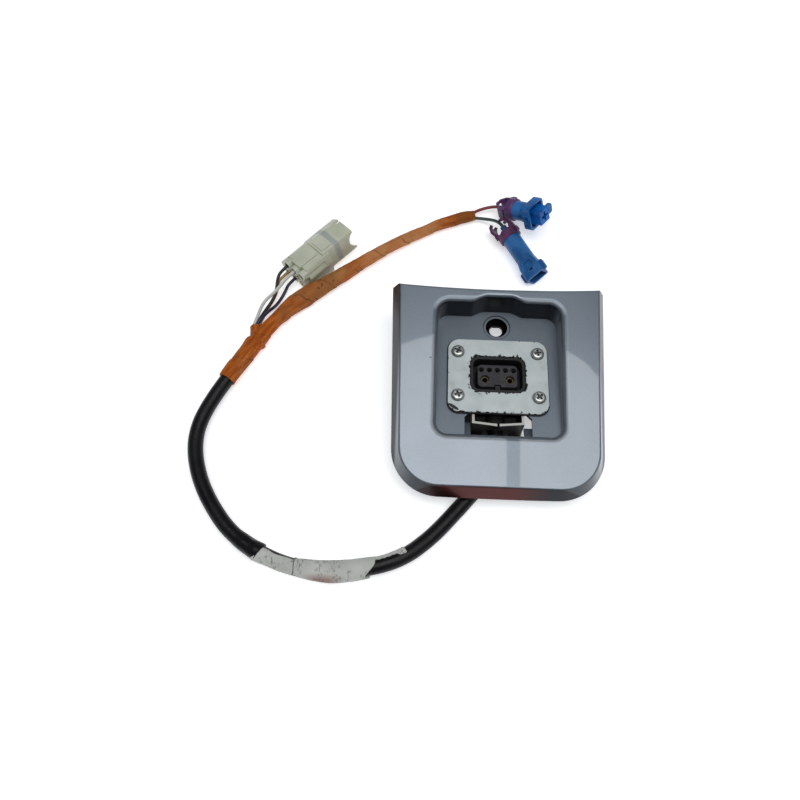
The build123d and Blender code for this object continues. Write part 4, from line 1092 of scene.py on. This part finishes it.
barrel_blue = moulded("barrel_blue", (30, 88, 150), (50, 114, 180))
frame_blue = moulded("block_blue", (8, 76, 148), (20, 104, 186))
mouth_blue = moulded("mouth_blue", (30, 82, 138), (48, 106, 164))
seal_dark_blue = moulded("seal_blue", (30, 48, 86), (58, 82, 122), 0.5)
purple = moulded("retainer_purple", (66, 44, 82), (98, 60, 108))
collar_purple = moulded("collar_purple", (68, 38, 68), (102, 56, 98))
plug_pieces = [
    finished("plug_body", barrel_blue),
    finished("plug_block", frame_blue),
    finished("plug_terminal", tinned, 0),
    finished("plug_seal", seal_dark_blue, 0.00015),
    finished("plug_holder", purple),
    finished("plug_flap_far", purple),
    finished("plug_flap_near", purple),
]
mouth_pieces = [
    finished("mouth_body", mouth_blue),
    finished("mouth_pin", tinned, 0),
    finished("mouth_wire_seal", seal_dark_blue, 0.00015),
    finished("mouth_holder", collar_purple),
    finished("mouth_flap_far", collar_purple),
    finished("mouth_flap_near", collar_purple),
]
for name, colour, tail, at, turns, behind, length, pieces_on in (
    ("wire_red", (122, 42, 42), RED_ROUTE_TAIL, PLUG_AT, PLUG_TURNS, -0.0128, 0.0356, plug_pieces),
    (
        "wire_green", (44, 62, 58), GREEN_ROUTE_TAIL, MOUTH_AT, MOUTH_TURNS, -0.0112, 0.0370,
        mouth_pieces,
    ),
):
    route = [
        *tail,
        connector_point(at, turns, behind),
        connector_point(at, turns, -0.0015, 0.00004),
        connector_point(at, turns, 0.006),
    ]
    run = route_curve(name + "_run", route, 16, SMALL_WIRE_D / 2)
    wire = add_piece(name + "_run", run, wire_finish(name, colour))
    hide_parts(name)

# Panel cover
# A moulded cover in silver-blue metallic paint, with a sloping crowned face, a deep well and
# leaning side walls. The paint is chipped in a few places. Painted shade darkens the walls that turn
# away and the fixing hole, and a painted warm reflection lies on the middle of the near wall.
paint = new_finish("silver_blue_paint", Coat_Roughness=0.03, Specular_IOR_Level=0.5)
FIXING_AT, FIXING_RADIUS, STEP_LINE_AT = (0.0, 0.04398), 0.0067, 0.0016
flakes = patches(paint, 5200.0, 0.40, 0.60, 1.0)
paint_base = clouded(paint, flakes, (106, 116, 126), (122, 131, 140))
facing = axes(paint, add_node(paint, "NewGeometry").outputs["Normal"])
cover_axes = axes(paint)
turned = spread(paint, facing["Z"], 1.0, 0.0, 0.25, 0.92)
to_user = spread(paint, facing["Y"], 1.0, 0.25, -0.8, 0.1)
across = reckon(paint, "ABSOLUTE", cover_axes["X"], 0.0)
side_wall = spread(paint, across, 0.0, 0.96, 0.0588, 0.0602)
near_wall = spread(paint, cover_axes["Y"], 1.0, 0.0, -0.0610, -0.0590)
outer_turned = spread(paint, facing["Z"], 1.0, 0.0, 0.62, 0.95)
outer_wall = product(paint, greatest(paint, side_wall, near_wall), outer_turned)
# Painted shade on the walls that turn away, and a painted warm reflection on the near wall's middle.
wall_shade_share = greatest(paint, product(paint, turned, to_user), outer_wall)
warm_reflection_span = window(paint, cover_axes["X"], (-0.0480, -0.0300), (0.0100, 0.0300))
warm_reflection = product(paint, warm_reflection_span, near_wall)
wall_shade_and_reflection_tone = clouded(paint, warm_reflection, (22, 23, 27), (72, 20, 15))
paint_with_wall_shade = blend(paint, product(paint, wall_shade_share, 0.94), paint_base, wall_shade_and_reflection_tone)
# Painted shade in the fixing hole's counterbore, and a painted dark line at its step.
hole_reach = outside(paint, FIXING_AT, (FIXING_RADIUS, FIXING_RADIUS), FIXING_RADIUS)
in_hole = reckon(paint, "LESS_THAN", hole_reach, 0.0002)
below_step = spread(paint, cover_axes["Z"], 1.0, 0.0, 0.0203, 0.0208)
hole_low = spread(paint, cover_axes["Y"], 1.0, 0.35, FIXING_AT[1] - 0.0052, FIXING_AT[1] - 0.0078)
hole_shade_share = product(paint, in_hole, below_step, hole_low)
past_step = reckon(paint, "SUBTRACT", hole_reach, STEP_LINE_AT)
step_line = reckon(paint, "ABSOLUTE", past_step, 0.0)
step_shade_line = spread(paint, step_line, 0.75, 0.0, 0.00015, 0.0004)
hole_painted_shade = greatest(paint, hole_shade_share, step_shade_line)
far_wall = product(paint, turned, spread(paint, facing["Y"], 1.0, 0.0, -0.75, -0.35))
dull = greatest(paint, outer_wall, hole_shade_share, far_wall)
feed(paint, "Coat Weight", spread(paint, dull, 1.0, 0.12, 0.0, 1.0))
feed(paint, "Metallic", spread(paint, dull, 0.5, 1.0, 0.0, 1.0))
CHIPS = [
    ((-0.0515, -0.0415, 0.0238), 0.0009),
    ((-0.0296, -0.0580, 0.0215), 0.0007),
    ((0.0302, -0.0576, 0.0215), 0.0011),
    ((-0.0570, -0.0297, 0.0253), 0.0007),
    ((0.0500, 0.0420, 0.0360), 0.0005),
    ((-0.0410, 0.0150, 0.0330), 0.0006),
]
CHIP_WOBBLE = 0.0012
wobble = add_node(paint, "TexNoise", {"Vector": object_place(paint), "Scale": 900.0})
shake = reckon_place(paint, "MULTIPLY", wobble.outputs["Color"], (CHIP_WOBBLE,) * 3)
shaken = reckon_place(paint, "ADD", object_place(paint), shake)
chips = []
for place, reach in CHIPS:
    middle = tuple(part + CHIP_WOBBLE / 2 for part in place)
    away = reckon_place(paint, "DISTANCE", shaken, middle)
    chips.append(spread(paint, away, 1.0, 0.0, reach * 0.75, reach))
nick_zone = patches(paint, 90.0, 0.58, 0.64, 2.0)
nicks = product(paint, patches(paint, 1100.0, 0.70, 0.74, 2.0), nick_zone, 0.7)
chip_share = greatest(paint, *chips, nicks)
coat(paint, paint_with_wall_shade, (hole_painted_shade, (12, 12, 14)), (chip_share, (34, 36, 40)))
feed(paint, "Roughness", mottle(paint, 25.0, 0.30, 0.37))
MOUTH_BAND, MOUTH_RELIEF, MOUTH_LOW = 0.0042, 0.0011, 0.0235
WELL_MIDDLE, WELL_HALVES, WELL_CORNER = (0.0, 0.01058), (0.0367, 0.0406), 0.007
mouth_reach = outside(paint, WELL_MIDDLE, WELL_HALVES, WELL_CORNER)
band = spread(paint, mouth_reach, 0, 1, 0, MOUTH_BAND, interpolation_type="SMOOTHSTEP")
below_mouth = reckon(paint, "LESS_THAN", cover_axes["Z"], MOUTH_LOW)
roughen(paint, greatest(paint, band, below_mouth), MOUTH_RELIEF)
finished("panel_cover", paint, 0.0005, 3, 35)

# Rubber gasket and clamp plate
# A black rubber gasket under a sheet steel plate in pale grey paint, chipped through to dark
# primer round its aperture and along its lower edge.
rubber = flecked(
    "black_rubber", 300.0, (16, 16, 17), (30, 30, 31), (200.0, 0.55, 0.75), Specular_IOR_Level=0.35
)
for node in ("plate_gasket", "cable_boot", "socket_seal"):
    finished(node, rubber, 0.0002)

enamel = new_finish("pale_grey_paint", Specular_IOR_Level=0.45)
plate_base = clouded(enamel, mottle(enamel, 90.0), (180, 189, 189), (194, 201, 201))
stains = mottle(enamel, 130.0, 0.0, 0.30, 0.58, 0.74, 5.0)
PLATE_MIDDLE, PLATE_HALVES, PLATE_CORNER = (0.0, 0.00908), (0.0299, 0.0242), 0.007
RIM_MIDDLE, RIM_HALVES, RIM_CORNER = (0.0, 0.01018), (0.01675, 0.0122), 0.0056
rim_reach = outside(enamel, RIM_MIDDLE, RIM_HALVES, RIM_CORNER)
rim_noise = mottle(enamel, 520.0, -0.0003, 0.0021, 0.46, 0.70, 5.0)
rim_chip = reckon(enamel, "LESS_THAN", rim_reach, rim_noise)
edge_reach = outside(enamel, PLATE_MIDDLE, PLATE_HALVES, PLATE_CORNER)
low_only = spread(enamel, axes(enamel)["Y"], 0.0012, 0.0, -0.0146, -0.0130)
edge_noise = mottle(enamel, 420.0, -0.0012, 0.0009, 0.50, 0.72, 4.0)
edge_depth = reckon(enamel, "ADD", edge_noise, low_only)
edge_chip = reckon(enamel, "GREATER_THAN", edge_reach, product(enamel, edge_depth, -1.0))
# A dark lens-shaped mark at the plate's lower left corner.
corner_turn, corner_size = (0, 0, math.radians(-33)), (0.0036, 0.0010, 0.02)
corner_place = own_place(enamel, (-0.0264, -0.0123, 0.024), corner_turn, corner_size)
corner_dark_lens = reckon(enamel, "LESS_THAN", reckon_place(enamel, "LENGTH", corner_place), 1.0)
chips_and_corner_lens = greatest(enamel, rim_chip, edge_chip, corner_dark_lens)
coat(enamel, plate_base, (stains, (150, 148, 136)), (chips_and_corner_lens, (22, 22, 23)))
feed(enamel, "Roughness", mottle(enamel, 150.0, 0.42, 0.56))
roughen(enamel, reckon(enamel, "SUBTRACT", mottle(enamel, 500.0, 0.0, 0.25), chips_and_corner_lens), 0.00012)
finished("clamp_plate", enamel)

# Screws, rivets and nuts
# Zinc plated steel: four pan-head screws with a cross recess in the plate, two rivets in the
# guard and four pressed nuts behind. Painted shade darkens all below the screw heads' tops: the
# cross recesses and the rivets and nuts beneath.
zinc = new_finish("zinc_steel", Metallic=0.9)
zinc_light = clouded(zinc, patches(zinc, 600.0, 0.40, 0.66), (170, 174, 168), (214, 218, 214))
# Painted shade: darker below the screw heads' tops.
low_shade_on_zinc = spread(zinc, axes(zinc)["Z"], 0.85, 0.0, 0.0247, 0.0257)
coat(zinc, zinc_light, (low_shade_on_zinc, (30, 31, 30)))
feed(zinc, "Roughness", mottle(zinc, 500.0, 0.22, 0.42))
for node in ("plate_screws", "guard_rivets", "pressed_nuts"):
    finished(node, zinc, 0.00012)

# Socket
# A black glass-filled nylon shell with a dark grey contact insert, small tinned and large brass
# contacts deep in its cavities, painted dark there as shade, and the rear shell that closes it below.
socket_black = flecked(
    "socket_black", 200.0, (14, 14, 15), (26, 27, 28), (300.0, 0.42, 0.6), Specular_IOR_Level=0.4
)
roughen(socket_black, mottle(socket_black, 1500.0), 0.00003)
for node in ("socket_body", "rear_shell"):
    finished(node, socket_black, 0.0003)
insert_grey = flecked(
    "insert_grey", 350.0, (40, 40, 42), (54, 53, 56), (400.0, 0.5, 0.66), Specular_IOR_Level=0.4
)
finished("contact_insert", insert_grey, 0.0002)
# Contacts deep in the socket, painted dark as shade.
shaded_brass = flecked(
    "shaded_brass", 700.0, (60, 52, 38), (104, 94, 70), Metallic=1.0, Roughness=0.45
)
shaded_tin = flecked("shaded_tin", 700.0, (26, 25, 24), (52, 50, 46), Metallic=1.0, Roughness=0.5)
finished("signal_contacts", shaded_tin, 0)
finished("power_contacts", shaded_brass, 0)

# Sheet guard
# Folded sheet steel round the cable under the plate, painted black, with its sheared top edges
# left bare.
guard = new_finish("guard_black", Specular_IOR_Level=0.2)
guard_facing = axes(guard, add_node(guard, "NewGeometry").outputs["Normal"])
upward = spread(guard, guard_facing["Z"], 0.0, 1.0, 0.55, 0.8)
high_up = spread(guard, axes(guard)["Z"], 0.0, 1.0, 0.0172, 0.0180)
bare = product(guard, upward, high_up)
guard_base = clouded(guard, mottle(guard, 200.0), (5, 5, 6), (12, 13, 14))
coat(guard, guard_base, (bare, (186, 187, 180)))
feed(guard, "Roughness", mottle(guard, 300.0, 0.35, 0.5))
finished("cable_guard", guard, 0.0001, 1)
SEAM_HALF, SEAM_TOP, SEAM_LOW, SEAM_NEAR, SEAM_FAR = 0.0026, 0.0211, 0.0158, -0.02262, -0.02105
SEAM_BOW = 0.0963
RAGGED_EDGE = [
    (-1.0, 0.0), (-0.22, -0.0001), (-0.10, -0.0009), (0.02, -0.0004), (0.13, -0.0011), (0.30, 0.0),
    (1.0, 0.0),
]
seam_outline = [(share, SEAM_TOP + drop) for share, drop in RAGGED_EDGE]
seam_outline += [(share, SEAM_LOW) for share, drop in reversed(RAGGED_EDGE)]
seam = bmesh.new()
seam_rows = []
for face_y in (SEAM_NEAR, SEAM_FAR):
    row = []
    for share, height in seam_outline:
        place = (share * SEAM_HALF, face_y + SEAM_BOW * SEAM_HALF * abs(share), height)
        row.append(seam.verts.new(place))
    seam_rows.append(row)
    for step in range(len(RAGGED_EDGE) - 1):
        seam.faces.new([row[step], row[step + 1], row[-2 - step], row[-1 - step]])
near_row, far_row = seam_rows
for step in range(len(near_row)):
    following = (step + 1) % len(near_row)
    seam.faces.new([near_row[step], near_row[following], far_row[following], far_row[step]])
add_piece("guard_seam", seam, guard, sharp=20)
